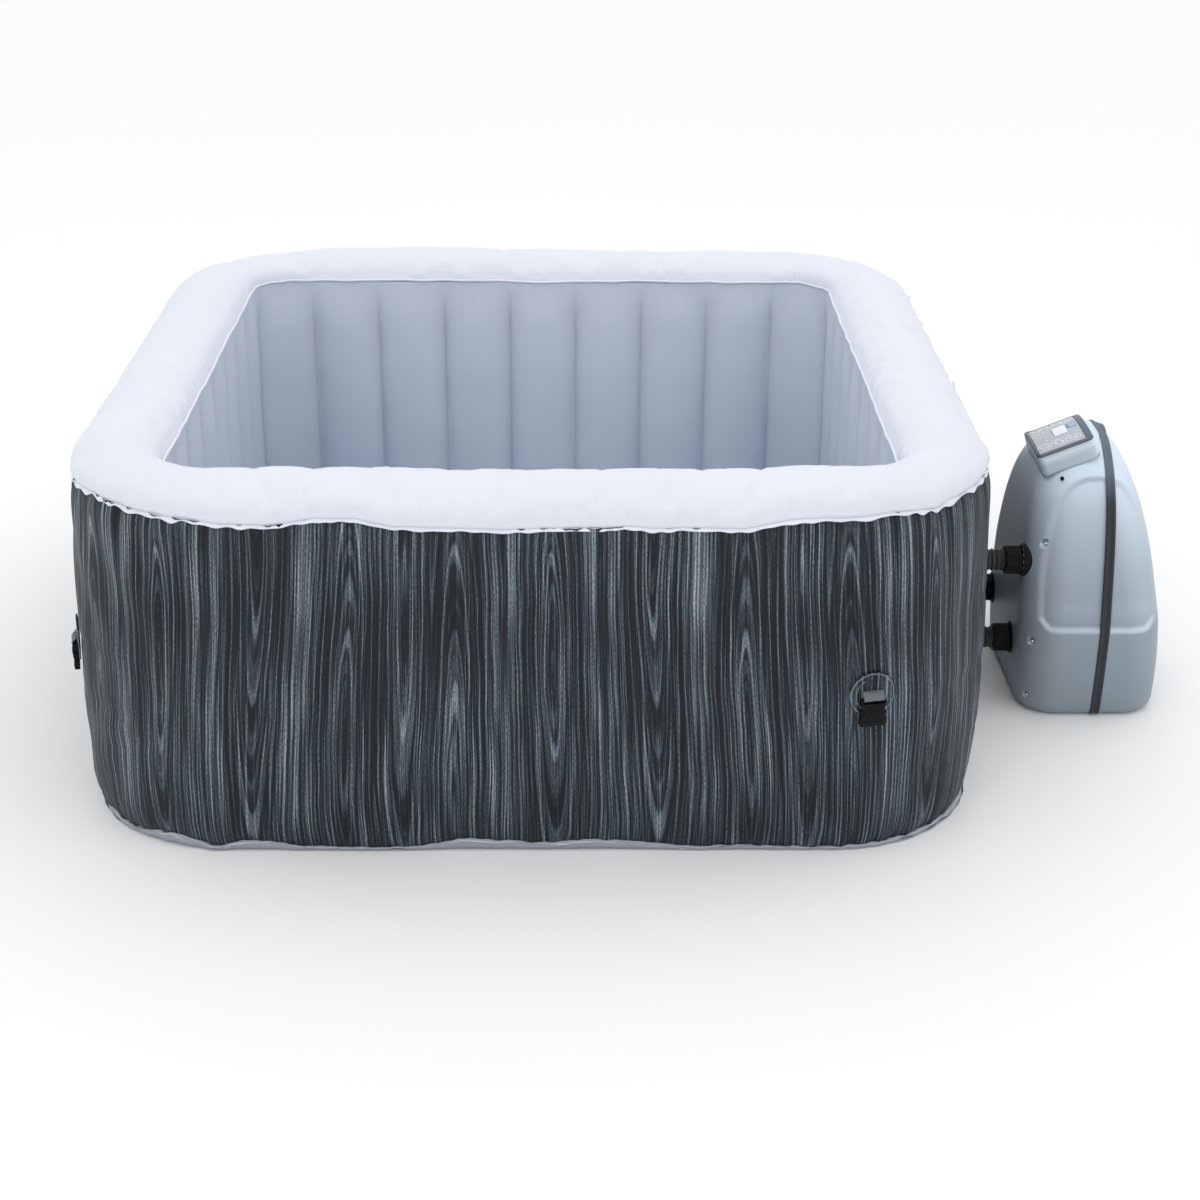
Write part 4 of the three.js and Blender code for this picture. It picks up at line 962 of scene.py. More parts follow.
for nm, (y, z) in {"air_valve": (0.180, 0.440), "drain_valve": (0.260, 0.070)}.items():
    prof = [(-0.7795, 0.0), (-0.7795, 0.0236), (-0.7806, 0.0241), (-0.7818, 0.0236), (-0.7822, 0.0222), (-0.7818, 0.0205), (-0.7816, 0.0188), (-0.7820, 0.0)]
    b = lathe_x(nm + "_seat", [(-0.7640, 0.0005), (-0.7640, 0.0132), (-0.7790, 0.0132), (-0.7795, 0.0236), (-0.7806, 0.0241), (-0.7818, 0.0236), (-0.7822, 0.0222), (-0.7818, 0.0205), (-0.7818, 0.0005)], y, z, 72, [BLACK])
    put(b, "root", "black_plastic", nm + "_body")
    cap = lathe_x("cp", [(-0.7827, 0.0004), (-0.7827, 0.0170), (-0.7832, 0.0174), (-0.7905, 0.0174), (-0.7915, 0.0168), (-0.7922, 0.0150), (-0.7919, 0.0138), (-0.7926, 0.0004)], y, z, 120, [BLACK],
                  mod=lambda X, R, T: R - ((R > 0.0172) & (X > -0.7903)) * 0.0006 * (np.cos(30 * T) > 0))
    bar = extrude("cb", rnd([(-0.0115, -0.0024), (0.0115, -0.0024), (0.0115, 0.0024), (-0.0115, 0.0024)], 0.002), -0.0028, 0.0028, [BLACK], 0.001)
    bar.matrix_world = Matrix.Translation((-0.7950, y, z)) @ Matrix.Rotation(pi / 2, 4, "Z")
    bpy.context.view_layer.update()
    cp = merge(nm + "_knob", [cap, bar])
    put(cp, nm + "_cap", "black_plastic", nm + "_cap")


# ---------------------------------------------------------------- heater unit: casing
def shell_material(name, col, low, dark=False):
    """Satin moulded shell with a fine spark grain and slow toning; painted shade darkens it towards the bottom, a
    painted highlight lightens it where it faces up, and it is paler along sharp convex edges.
    """
    g = Graph(name)
    tc = g.node("ShaderNodeTexCoord").outputs["Object"]
    slow = g.noise(tc, 5, 3)
    grain = g.noise(tc, 2200, 2, 0.7)
    peb = g.node("ShaderNodeTexVoronoi", {"Vector": tc, "Scale": 1100.0}).outputs[0]
    z = g.node("ShaderNodeSeparateXYZ", {0: tc}).outputs[2]
    # painted shade: the low colour at the base, col at z 0.5 and above
    f = g.node("ShaderNodeMapRange", {0: z, 1: 0.0, 2: 0.50}).outputs[0]
    c = g.mix(f, low, col)
    # sun-bleached where it faces the sky
    # painted highlight: lighter where the surface faces up, as the light falls from above
    nz = g.node("ShaderNodeSeparateXYZ", {0: g.node("ShaderNodeNewGeometry").outputs["Normal"]}).outputs[2]
    c = g.mix(g.node("ShaderNodeMapRange", {0: nz, 1: 0.13, 2: 0.60}).outputs[0], c, tuple(min(1, x * 1.75) for x in col))
    c = g.mix(g.math("MULTIPLY_ADD", slow, 0.4, -0.1), c, tuple(x * 0.85 for x in low))
    c = g.mix(g.math("MULTIPLY", grain, 0.12), c, tuple(x * 0.6 for x in low))
    dust = g.node("ShaderNodeMapRange", {0: z, 1: 0.05, 2: 0.0}).outputs[0]
    c = g.mix(g.math("MULTIPLY", g.math("MULTIPLY", dust, g.noise(tc, 30, 4)), 0.35), c, (0.30, 0.30, 0.29))
    # lighter along sharp convex edges, where the mesh's pointiness is high
    bev = g.node("ShaderNodeNewGeometry").outputs["Pointiness"]
    c = g.mix(g.math("MULTIPLY", g.ramp(bev, [(0.51, 0.0), (0.60, 1.0)]), 0.25), c, tuple(min(1, x * 1.4) for x in col))
    r = g.math("ADD", g.math("MULTIPLY", grain, 0.16), g.math("MULTIPLY_ADD", slow, 0.10, 0.30))
    n = g.bump(peb, 0.00012, 0.5)
    n = g.bump(grain, 0.00010, 0.5, n)
    return g.out(Base_Color=c, Roughness=r, Normal=n, Specular_IOR_Level=0.45)


SHELL = shell_material("shell_blue_grey", (0.415, 0.485, 0.55), (0.235, 0.29, 0.335))
NECK = shell_material("shell_blue_grey_neck", (0.47, 0.545, 0.61), (0.42, 0.49, 0.55))
STRIP = plain("seam_strip_rubber", (0.034, 0.042, 0.048), (0.055, 0.066, 0.075), 0.5, 12, 2400, 0.0002, edge=0.4)
def strip_material():
    """Rubber strip, near black down the sides, with a painted highlight: blue-grey where it faces up to the light."""
    g = Graph("seam_strip_painted_toplight")
    tc = g.node("ShaderNodeTexCoord").outputs["Object"]
    grain = g.noise(tc, 2400, 2, 0.6)
    slow = g.noise(tc, 14, 3)
    z = g.node("ShaderNodeSeparateXYZ", {0: tc}).outputs[2]
    # painted highlight: the strip turns from near black to blue-grey between z 0.425 and 0.48, where it faces up to the
    # light
    f = g.node("ShaderNodeMapRange", {0: g.math("MULTIPLY_ADD", slow, 0.02, z), 1: 0.425, 2: 0.480}).outputs[0]
    c = g.mix(f, (0.018, 0.024, 0.029), (0.125, 0.165, 0.21))
    c = g.mix(g.math("MULTIPLY", slow, 0.3), c, (0.05, 0.06, 0.07))
    r = g.math("ADD", g.math("MULTIPLY", grain, 0.16), g.math("MULTIPLY_ADD", slow, 0.12, 0.40))
    return g.out(Base_Color=c, Roughness=r, Normal=g.bump(grain, 0.0002), Specular_IOR_Level=0.4)


STRIP_TOPLIT = strip_material()
BEZEL = plain("bezel_slate", (0.072, 0.095, 0.125), (0.10, 0.128, 0.160), 0.38, 10, 2600, 0.00015, edge=0.5)
SPLIT = 1.055
CASE = np.array([
    (0.0000, 0.926, 1.162, -0.252, 0.102, 0.060), (0.0045, 0.9195, 1.1685, -0.2595, 0.1095, 0.064), (0.018, 0.914, 1.176, -0.266, 0.116, 0.068), (0.080, 0.908, 1.178, -0.272, 0.122, 0.074),
    (0.172, 0.905, 1.172, -0.276, 0.126, 0.076), (0.240, 0.905, 1.161, -0.266, 0.116, 0.076), (0.320, 0.909, 1.146, -0.250, 0.100, 0.076), (0.400, 0.919, 1.124, -0.226, 0.076, 0.076),
    (0.445, 0.932, 1.106, -0.203, 0.053, 0.072), (0.478, 0.953, 1.088, -0.176, 0.026, 0.062), (0.500, 0.978, 1.072, -0.146, -0.004, 0.045), (0.509, 0.996, 1.061, -0.124, -0.026, 0.030), (0.512, 1.002, 1.058, -0.118, -0.032, 0.027)])


def pchip(x, y, q):
    """Monotone cubic through the table's points."""
    h, d = np.diff(x), np.diff(y) / np.diff(x)
    m = np.zeros_like(y)
    for i in range(1, len(x) - 1):
        if d[i - 1] * d[i] > 0:
            a, b = 2 * h[i] + h[i - 1], h[i] + 2 * h[i - 1]
            m[i] = (a + b) / (a / d[i - 1] + b / d[i])
    m[0], m[-1] = d[0], d[-1]
    k = np.clip(np.searchsorted(x, q) - 1, 0, len(h) - 1)
    t = (q - x[k]) / h[k]
    return (1 + 2 * t) * (1 - t) ** 2 * y[k] + t * (1 - t) ** 2 * h[k] * m[k] + t * t * (3 - 2 * t) * y[k + 1] + t * t * (t - 1) * h[k] * m[k + 1]


# screw recesses: x, y, z on the casing's skin
DOME = (0.9653, -0.1950, 0.4547)
RECESSES = [(0.936, -0.226, 0.338), (0.9245, -0.250, 0.150), (0.9266, -0.240, 0.034), (0.936, 0.076, 0.338), (0.9245, 0.100, 0.150), (0.9266, 0.090, 0.034), DOME]


def case_points(e=0.0, nu=420, z0=0.0, detail=True):
    """The casing's skin grown by e: rows up to the crown, columns round it."""
    zt = np.concatenate([np.linspace(z0, 0.02, 8)[:-1], np.linspace(0.02, 0.44, 118)[:-1], np.linspace(0.44, 0.512, 40)])
    zq = np.clip(zt, 0, 0.512)
    x0, x1, ya, yb, r = (pchip(CASE[:, 0], CASE[:, i], zq) for i in range(1, 6))
    x0, x1, ya, yb = x0 - e, x1 + e, ya - e, yb + e
    r = np.maximum(r + e, 0.004)
    P = np.zeros((nu, len(zt), 3))
    N = np.zeros((nu, len(zt), 2))
    # equal shares for corners and sides, the corners finer
    cs = nu // 4
    nc = int(cs * 0.45)
    for q in range(4):
        sx, sy = ((1, 1), (-1, 1), (-1, -1), (1, -1))[q]
        cx = (x1 - r) if sx > 0 else (x0 + r)
        cy = (yb - r) if sy > 0 else (ya + r)
        sx2, sy2 = ((-1, 1), (-1, -1), (1, -1), (1, 1))[q]
        cx2 = (x1 - r) if sx2 > 0 else (x0 + r)
        cy2 = (yb - r) if sy2 > 0 else (ya + r)
        for i in range(cs):
            t = q * pi / 2 + min(i / nc, 1) * pi / 2
            g = 0 if i <= nc else (i - nc) / (cs - nc)
            n = (math.cos(t), math.sin(t))
            P[q * cs + i, :, 0] = cx + r * n[0] + (cx2 - cx) * g
            P[q * cs + i, :, 1] = cy + r * n[1] + (cy2 - cy) * g
            N[q * cs + i] = n
    P[..., 2] = zt + np.where(zt > 0.44, e * (zt - 0.44) / 0.072, 0)
    if detail:
        X, Y, Z = P[..., 0], P[..., 1], P[..., 2]
        d = np.zeros(X.shape)
        # arched side panels, set in from the face, on both long ends
        side = np.clip(np.abs(N[..., 1]), 0, 1)
        w = 0.5 * (0.946 + 1.150)
        cxm = np.interp(Z, [0.17, 0.45], [1.046, 1.030])
        ax, az, q_ = 0.108, 0.452 - 0.172, 2.5
        hx_, hz_ = np.abs(X - cxm) / ax, np.clip((Z - 0.172) / az, 0, 2)
        lev = hx_**q_ + hz_**q_ - 1
        gr_ = np.sqrt((q_ * hx_ ** (q_ - 1) / ax) ** 2 + (q_ * hz_ ** (q_ - 1) / az) ** 2) + 1e-6
        out_ = lev / gr_
        low_ = 0.182 - Z + 0.020 * np.clip((hx_ - 0.80) / 0.2, 0, 1) ** 2
        inside = sstep(0.0080, -0.0060, np.maximum(out_, low_))
        d -= 0.0046 * inside * sstep(0.45, 0.80, side)
        # crease where the lower body begins
        d -= 0.0004 * np.exp(-(((Z - 0.168) / 0.0045) ** 2)) * sstep(0.5, 0.9, side) * sstep(0.13, 0.10, np.abs(X - 1.045))
        # screw recesses
        for x_, y_, z_ in RECESSES:
            dd = np.sqrt((X - x_) ** 2 + (Y - y_) ** 2 + (Z - z_) ** 2)
            d -= 0.0048 * sstep(0.0082, 0.0056, dd)
        P[..., 0] += N[..., 0] * d
        P[..., 1] += N[..., 1] * d
    return P


def cut_box(ob, lo, hi, m=Matrix.Identity(4)):
    bm = bmesh.new()
    bmesh.ops.create_cube(bm, size=1)
    for v in bm.verts:
        v.co = Vector([lo[i] + (v.co[i] + 0.5) * (hi[i] - lo[i]) for i in range(3)])
    bm.transform(m)
    me = bpy.data.meshes.new("tool")
    bm.to_mesh(me)
    bm.free()
    t = bpy.data.objects.new("tool", me)
    bpy.context.scene.collection.objects.link(t)
    b = modify(ob, "BOOLEAN", operation="DIFFERENCE", object=t, solver="EXACT")
    apply(ob)
    bpy.data.objects.remove(t)


def cut_cyl(ob, x0, x1, r, y, z, seg=48):
    bm = bmesh.new()
    bmesh.ops.create_cone(bm, cap_ends=True, segments=seg, radius1=r, radius2=r, depth=x1 - x0)
    bm.transform(Matrix.Translation(((x0 + x1) / 2, y, z)) @ Matrix.Rotation(pi / 2, 4, "Y"))
    me = bpy.data.meshes.new("tool")
    bm.to_mesh(me)
    bm.free()
    t = bpy.data.objects.new("tool", me)
    bpy.context.scene.collection.objects.link(t)
    modify(ob, "BOOLEAN", operation="DIFFERENCE", object=t, solver="EXACT")
    apply(ob)
    bpy.data.objects.remove(t)


PAN = dict(x=0.969, y=-0.106, z=0.505, w=0.102, l=0.132)
PM = Matrix.Translation((PAN["x"], PAN["y"], PAN["z"])) @ Matrix.Rotation(math.radians(-22), 4, "Y")


def close_top(P, name, mats, e=0.0):
    """A skin with its crown closed by shrinking rings, so that it rounds off."""
    top = P[:, -1]
    c = top.mean(0)
    rings = []
    for s, up in ((0.85, 0.0012), (0.6, 0.0022), (0.3, 0.0028), (0.05, 0.0030)):
        q = c + (top - c) * s
        q[:, 2] = top[:, 2] + up
        rings.append(q[:, None])
    Q = np.concatenate([P] + rings, 1)
    ob = grid(name, Q, True, False, mats=mats)
    bm = bmesh.new()
    bm.from_mesh(ob.data)
    bmesh.ops.holes_fill(bm, edges=[x for x in bm.edges if x.is_boundary and all(v.co.z > 0.4 for v in x.verts)], sides=0)
    bmesh.ops.recalc_face_normals(bm, faces=bm.faces)
    bm.to_mesh(ob.data)
    bm.free()
    return ob


def half(ob, x, keep_low):
    bm = bmesh.new()
    bm.from_mesh(ob.data)
    bmesh.ops.bisect_plane(bm, geom=bm.verts[:] + bm.edges[:] + bm.faces[:], plane_co=(x, 0, 0), plane_no=(1, 0, 0), clear_outer=keep_low, clear_inner=not keep_low, dist=1e-6)
    bm.to_mesh(ob.data)
    bm.free()
    ob.data.polygons.foreach_set("use_smooth", np.ones(len(ob.data.polygons), bool))


for nm, x, low, node in (("shell_tub_side", SPLIT - 0.0003, True, "tub_side_shell"), ("shell_outer_side", SPLIT + 0.0003, False, "outer_shell")):
    ob = close_top(case_points(), nm, [SHELL])
    half(ob, x, low)
    modify(ob, "SOLIDIFY", thickness=0.0028, offset=-1, use_quality_normals=True)
    apply(ob)
    cut_box(ob, (-PAN["w"] / 2 - 0.0004, -PAN["l"] / 2 - 0.0004, -0.0244), (PAN["w"] / 2 + 0.0004, PAN["l"] / 2 + 0.0004, 0.06), PM)
    if low:
        for y, z in PORTS.values():
            cut_cyl(ob, 0.86, 0.96, 0.0318, y, z)
    ob.data.polygons.foreach_set("use_smooth", np.ones(len(ob.data.polygons), bool))
    modify(ob, "WEIGHTED_NORMAL", keep_sharp=False, weight=60)
    e = modify(ob, "EDGE_SPLIT", split_angle=math.radians(38))
    put(ob, "root", "shell_grey", node)

# collars round the three spigots
for nm, (y, z) in PORTS.items():
    xf = float(np.interp(z, CASE[:, 0], CASE[:, 1]))
    prof = [(0.9036, 0.0208), (0.9036, 0.0286), (0.9044, 0.0300), (0.9080, 0.0306), (xf + 0.0240, 0.0309), (xf + 0.0260, 0.0300), (xf + 0.0260, 0.0208)]
    put(lathe_x("spigot_collar_" + nm, prof, y, z, 64, [BLACK]), "root", "black_plastic")

# ---- seam strip: a proud rubbery band over the parting line, ribbed along its middle
Ps = case_points(0.0, 840, detail=False)
top = Ps[:, -1]


def strip_ring(x):
    """Outline of the casing in the plane X = x: points (y, z) from the base of -Y, over the crown, to the base of +Y."""
    zs = np.concatenate([np.linspace(0.0005, 0.44, 90), np.linspace(0.44, 0.5119, 60)[1:]])
    x0, x1, ya, yb, r = (pchip(CASE[:, 0], CASE[:, i], zs) for i in range(1, 6))
    over = np.clip(x - (x1 - r), 0, None)
    inset = r - np.sqrt(np.clip(r**2 - over**2, 0, None))
    a = np.stack([ya + inset, zs], -1)
    b = np.stack([yb - inset, zs], -1)
    m = np.linspace(a[-1, 0], b[-1, 0], 16)[1:-1]
    u = (m - m.mean()) / (m[-1] - m.mean())
    mid = np.stack([m, 0.512 + 0.0022 * (1 - u**2)], -1)
    return np.concatenate([a, mid, b[::-1]])


def frame2(C):
    T = np.gradient(C, axis=0)
    T /= np.linalg.norm(T, axis=1, keepdims=True)
    Nn = np.stack([-T[:, 1], T[:, 0]], -1)
    return Nn


C = strip_ring(SPLIT)
Nn = frame2(C)
if Nn[5, 0] > 0:
    Nn = -Nn
sec = [(-0.0090, -0.0008), (-0.0090, 0.0014), (-0.0084, 0.0021), (-0.0074, 0.0024), (-0.0034, 0.0025), (-0.0026, 0.0016), (-0.0010, 0.0013), (0.0010, 0.0013), (0.0026, 0.0016), (0.0034, 0.0025), (0.0074, 0.0024), (0.0084, 0.0021), (0.0090, 0.0014), (0.0090, -0.0008)]
rows = []
for sx, h in sec:
    Cx = strip_ring(SPLIT + sx)
    Nx = frame2(Cx)
    if Nx[5, 0] > 0:
        Nx = -Nx
    q = Cx + Nx * h
    q[:, 1] = np.maximum(q[:, 1], 0.0006)
    rows.append(np.stack([np.full(len(q), SPLIT + sx), q[:, 0], q[:, 1]], -1))
P = np.stack(rows, 1)
strip = grid("seam_strip_band", P, False, True, mats=[STRIP_TOPLIT], caps=False)
bm = bmesh.new()
bm.from_mesh(strip.data)
bmesh.ops.holes_fill(bm, edges=[e for e in bm.edges if e.is_boundary], sides=0)
bmesh.ops.recalc_face_normals(bm, faces=bm.faces)
bm.to_mesh(strip.data)
bm.free()
cut_box(strip, (-PAN["w"] / 2 - 0.0004, -PAN["l"] / 2 - 0.0004, -0.0244), (PAN["w"] / 2 + 0.0004, PAN["l"] / 2 + 0.0004, 0.06), PM)
strip.data.polygons.foreach_set("use_smooth", np.ones(len(strip.data.polygons), bool))
modify(strip, "EDGE_SPLIT", split_angle=math.radians(50))
put(strip, "root", "strip_dark", "seam_strip")


# ---------------------------------------------------------------- control panel
def bow(y):
    return -0.0085 * (y / 0.066) ** 2


def rrect(a, b, r, n=10, m=14):
    """Rounded rectangle, half sizes a and b, as points."""
    out = []
    cs = ((a - r, b - r, 0), (-a + r, b - r, 90), (-a + r, -b + r, 180), (a - r, -b + r, 270))
    for i, (cx, cy, t0) in enumerate(cs):
        for k in range(n + 1):
            t = math.radians(t0 + 90 * k / n)
            out.append((cx + r * math.cos(t), cy + r * math.sin(t)))
        nx, ny, t1 = cs[(i + 1) % 4]
        t = math.radians(t0 + 90)
        p, q = out[-1], (nx + r * math.cos(t), ny + r * math.sin(t))
        for k in range(1, m):
            out.append((p[0] + (q[0] - p[0]) * k / m, p[1] + (q[1] - p[1]) * k / m))
    return np.array(out)


def plate(name, outline_fn, levels, mats, fill=True, bowed=True):
    """Stacked outlines: levels are (grow, z); the last is closed across."""
    rows = []
    for e, z in levels:
        o = outline_fn(e)
        zz = z + (bow(o[:, 1]) if bowed else 0)
        rows.append(np.stack([o[:, 0], o[:, 1], zz + 0 * o[:, 0]], -1))
    ob = grid(name, np.stack(rows, 1), True, False, mats=mats)
    if fill:
        bm = bmesh.new()
        bm.from_mesh(ob.data)
        bmesh.ops.holes_fill(bm, edges=[e for e in bm.edges if e.is_boundary], sides=0)
        bmesh.ops.recalc_face_normals(bm, faces=bm.faces)
        bm.to_mesh(ob.data)
        bm.free()
    return ob


W2, L2 = PAN["w"] / 2, PAN["l"] / 2
# the frame: rounded outside, filleted lip, pocket for the overlay
rows = []
for e, z in ((-0.002, -0.0238), (0.0, -0.0230), (0.0, 0.0062), (-0.0006, 0.0080), (-0.0020, 0.0089), (-0.0036, 0.0088), (-0.0050, 0.0080), (-0.0058, 0.0070), (-0.0060, 0.0040), (-0.0090, 0.0032), (-0.0090, -0.0238)):
    o = rrect(W2 + e, L2 + e, max(0.010 + e, 0.003))
    lip = 0.0022 * sstep(-0.030, -W2, o[:, 0]) if z > 0.005 else 0.0
    ear = 0.0070 * sstep(W2 - 0.012, W2 - 0.004, o[:, 0]) * (1 if e > -0.0045 else 0)  # the frame is broader beside the seam
    drop = -0.35 * np.clip(o[:, 0] - W2 + 0.004, 0, 1) * (1 if z > 0 else 0)
    rows.append(np.stack([o[:, 0] + ear, o[:, 1], z + drop + bow(o[:, 1]) * (1 if z > 0 else 0.6) + lip], -1))
bz = grid("panel_bezel", np.stack(rows, 1), True, True, mats=[BEZEL])
outward(bz)
bz.matrix_world = PM
modify(bz, "WEIGHTED_NORMAL", keep_sharp=False)
rows = []
for e, z, k in ((-0.0012, 0.0046, 1.0), (0.0002, 0.0040, 1.0), (0.0006, 0.0030, 1.0), (0.0007, 0.0010, 1.0), (0.0020, -0.0014, 1.0), (0.0038, -0.0050, 1.0), (0.0052, -0.0110, 1.0), (0.0062, -0.0180, 1.0), (0.0070, -0.0245, 0.9), (0.0074, -0.0310, 0.8), (-0.0030, -0.0310, 0.8)):
    o = rrect(W2 + min(e, 0.0007) + 0.12 * max(e, 0), L2 + e, max(0.010 + 0.6 * e, 0.003))
    ear = 0.0070 * sstep(W2 - 0.012, W2 - 0.004, o[:, 0]) * (1 if e > -0.001 else 0)
    rows.append(np.stack([o[:, 0] + ear, o[:, 1], z + bow(o[:, 1]) * k], -1))
neck = grid("panel_neck", np.stack(rows, 1), True, True, mats=[NECK])
outward(neck)
neck.data.transform(PM)
modify(neck, "WEIGHTED_NORMAL", keep_sharp=False)
put(neck, "root", "shell_grey")
put(bz, "root", "bezel_dark", "control_bezel")


def overlay_material():
    """Membrane film: silver-grey with slow toning, a fine grain and a thin coat; its print, a blue status square and
    pale key rims, is built as separate pieces.
    """
    g = Graph("membrane_overlay")
    tc = g.node("ShaderNodeTexCoord").outputs["Object"]
    slow = g.noise(tc, 20, 3)
    grain = g.noise(tc, 3000, 2)
    sp = g.node("ShaderNodeSeparateXYZ", {0: tc})
    x, y = sp.outputs[0], sp.outputs[1]
    c = g.mix(slow, (0.40, 0.43, 0.48), (0.51, 0.535, 0.585))
    c = g.mix(g.math("MULTIPLY", grain, 0.12), c, (0.22, 0.24, 0.28))
    r = g.math("ADD", g.math("MULTIPLY", grain, 0.15), g.math("MULTIPLY_ADD", slow, 0.1, 0.22))
    return g.out(Base_Color=c, Roughness=r, Normal=g.bump(grain, 0.00008), Coat_Weight=0.25, Coat_Roughness=0.2)


OVER = overlay_material()
BLUE = plain("icon_blue_print", (0.13, 0.36, 0.62), (0.20, 0.46, 0.70), 0.35, 60, 3000, 0.00005)
PALE = plain("print_pale", (0.86, 0.88, 0.93), (0.93, 0.95, 0.98), 0.35, 60, 3000, 0.00005)
KEY = plain("key_white_membrane", (0.60, 0.61, 0.67), (0.72, 0.73, 0.79), 0.32, 60, 2600, 0.00006)
INK = plain("key_ink_grey", (0.16, 0.18, 0.21), (0.22, 0.24, 0.27), 0.4, 60, 2600, 0.00005)
GLASS = plain("display_pale", (0.80, 0.82, 0.88), (0.90, 0.92, 0.96), 0.12, 40, 3000, 0.00003)
xs_ = np.concatenate([[-1.0], np.linspace(-0.99, 0.99, 22), [1.0]]) * (W2 - 0.0066)
ys_ = np.concatenate([[-1.0], np.linspace(-0.993, 0.993, 44), [1.0]]) * (L2 - 0.0066)
th_ = np.array([0.0079] + [0.0084] * 22 + [0.0079])
sheet = []
for y_ in ys_:
    edge_ = 0.0005 if abs(y_) > L2 - 0.0068 else 0.0
    top_ = np.stack([xs_, 0 * xs_ + y_, th_ - edge_ + bow(y_)], -1)
    bot_ = np.stack([xs_[::-1], 0 * xs_ + y_, 0 * xs_ + 0.0054 + bow(y_)], -1)
    sheet.append(np.concatenate([top_, bot_]))
ov = grid("panel_overlay", np.stack(sheet), False, True, mats=[OVER], caps=True)
outward(ov)
ov.matrix_world = PM


def pill(r, h=0.006, n=12):
    o = []
    for k in range(n + 1):
        t = -pi / 2 + pi * k / n
        o.append((h + r * math.cos(t), r * math.sin(t)))
    for k in range(n + 1):
        t = pi / 2 + pi * k / n
        o.append((-h + r * math.cos(t), r * math.sin(t)))
    return np.array(o)


KEYS = [(k * 0.027 - 0.003, sy * 0.0445) for sy in (-1, 1) for k in (-1, 0, 1)]
# wells for the keys and the window are cut through the film
for kx, ky in KEYS + [(0.008, 0.0)]:
    win = (kx, ky) == (0.008, 0.0)
    o = rrect(0.0140, 0.0190, 0.0012, 3, 2) if win else pill(0.0061)
    bm = bmesh.new()
    lo_ = [bm.verts.new((kx + a, ky + b, 0.0)) for a, b in o]
    hi_ = [bm.verts.new((kx + a, ky + b, 0.02)) for a, b in o]
    n = len(o)
    bm.faces.new(lo_[::-1])
    bm.faces.new(hi_)
    for q in range(n):
        bm.faces.new((lo_[q], lo_[(q + 1) % n], hi_[(q + 1) % n], hi_[q]))
    bmesh.ops.recalc_face_normals(bm, faces=bm.faces)
    bm.transform(PM)
    me = bpy.data.meshes.new("tool")
    bm.to_mesh(me)
    bm.free()
    t = bpy.data.objects.new("tool", me)
    bpy.context.scene.collection.objects.link(t)
    modify(ov, "BOOLEAN", operation="DIFFERENCE", object=t, solver="EXACT")
    apply(ov)
    bpy.data.objects.remove(t)
modify(ov, "EDGE_SPLIT", split_angle=math.radians(40))
put(ov, "root", "overlay_grey", "control_overlay")

dw = plate("display_glass", lambda e: rrect(0.0133 + e, 0.0183 + e, 0.0011, 4, 6), [(-0.001, 0.0054), (0.0, 0.0056), (0.0, 0.0083), (-0.0004, 0.0088), (-0.0012, 0.0090)], [GLASS], bowed=False)
dw.matrix_world = PM @ Matrix.Translation((0.008, 0, 0))
put(dw, "root", "display_white", "display_window")
for i, (kx, ky) in enumerate(KEYS):
    lift = float(bow(ky))
    kb_ = plate("key_cap_%d" % (i + 1), lambda e: pill(0.0055 + e), [(-0.0008, 0.0056), (0.0, 0.0058), (0.0, 0.0088), (-0.0004, 0.0093), (-0.0016, 0.00955), (-0.0030, 0.0094)], [KEY], bowed=False)
    # a small printed mark on each key: a ring, two bars or one bar
    marks = []
    if i % 3 == 0:
        rr = []
        for a in np.linspace(0, 2 * pi, 6, endpoint=False):
            q = 0.0024 + 0.0004 * math.cos(a)
            tt = np.arange(28) * 2 * pi / 28
            rr.append(np.stack([q * np.cos(tt), q * np.sin(tt), 0.00945 + 0.0002 * math.sin(a) + 0 * tt], -1))
        marks.append(grid("mk", np.stack(rr, 1), True, True, mats=[INK]))
    else:
        for s in ((-1, 1) if i % 3 == 1 else (0,)):
            bmk = rrect(0.0024, 0.00045, 0.0004, 3, 2)
            mk = plate("mk%d" % s, lambda e, b=bmk, s=s: b * (1 + e) + np.array([0, s * 0.0011]), [(0, 0.0092), (0, 0.0097)], [INK], bowed=False)
            marks.append(mk)
    bpy.context.view_layer.update()
    kk = merge("key_%d" % (i + 1), [kb_, *marks])
    kk.matrix_world = PM @ Matrix.Translation((kx, ky, lift))
    put(kk, "button_%d" % (i + 1), "button_white", "button_%d" % (i + 1))

# print on the film: key surrounds, status dots, a plain wave icon
bits = []


def decal(name, o, x, y, z, mat, th=0.00035):
    rows = []
    for h in (z - 0.0004, z + th):
        rows.append(np.stack([o[:, 0] + x, o[:, 1] + y, h + bow(o[:, 1] + y)], -1))
    ob = grid(name, np.stack(rows, 1), True, False, mats=[mat])
    bm = bmesh.new()
    bm.from_mesh(ob.data)
    bmesh.ops.holes_fill(bm, edges=[e for e in bm.edges if e.is_boundary], sides=0)
    bmesh.ops.recalc_face_normals(bm, faces=bm.faces)
    bm.to_mesh(ob.data)
    bm.free()
    return ob


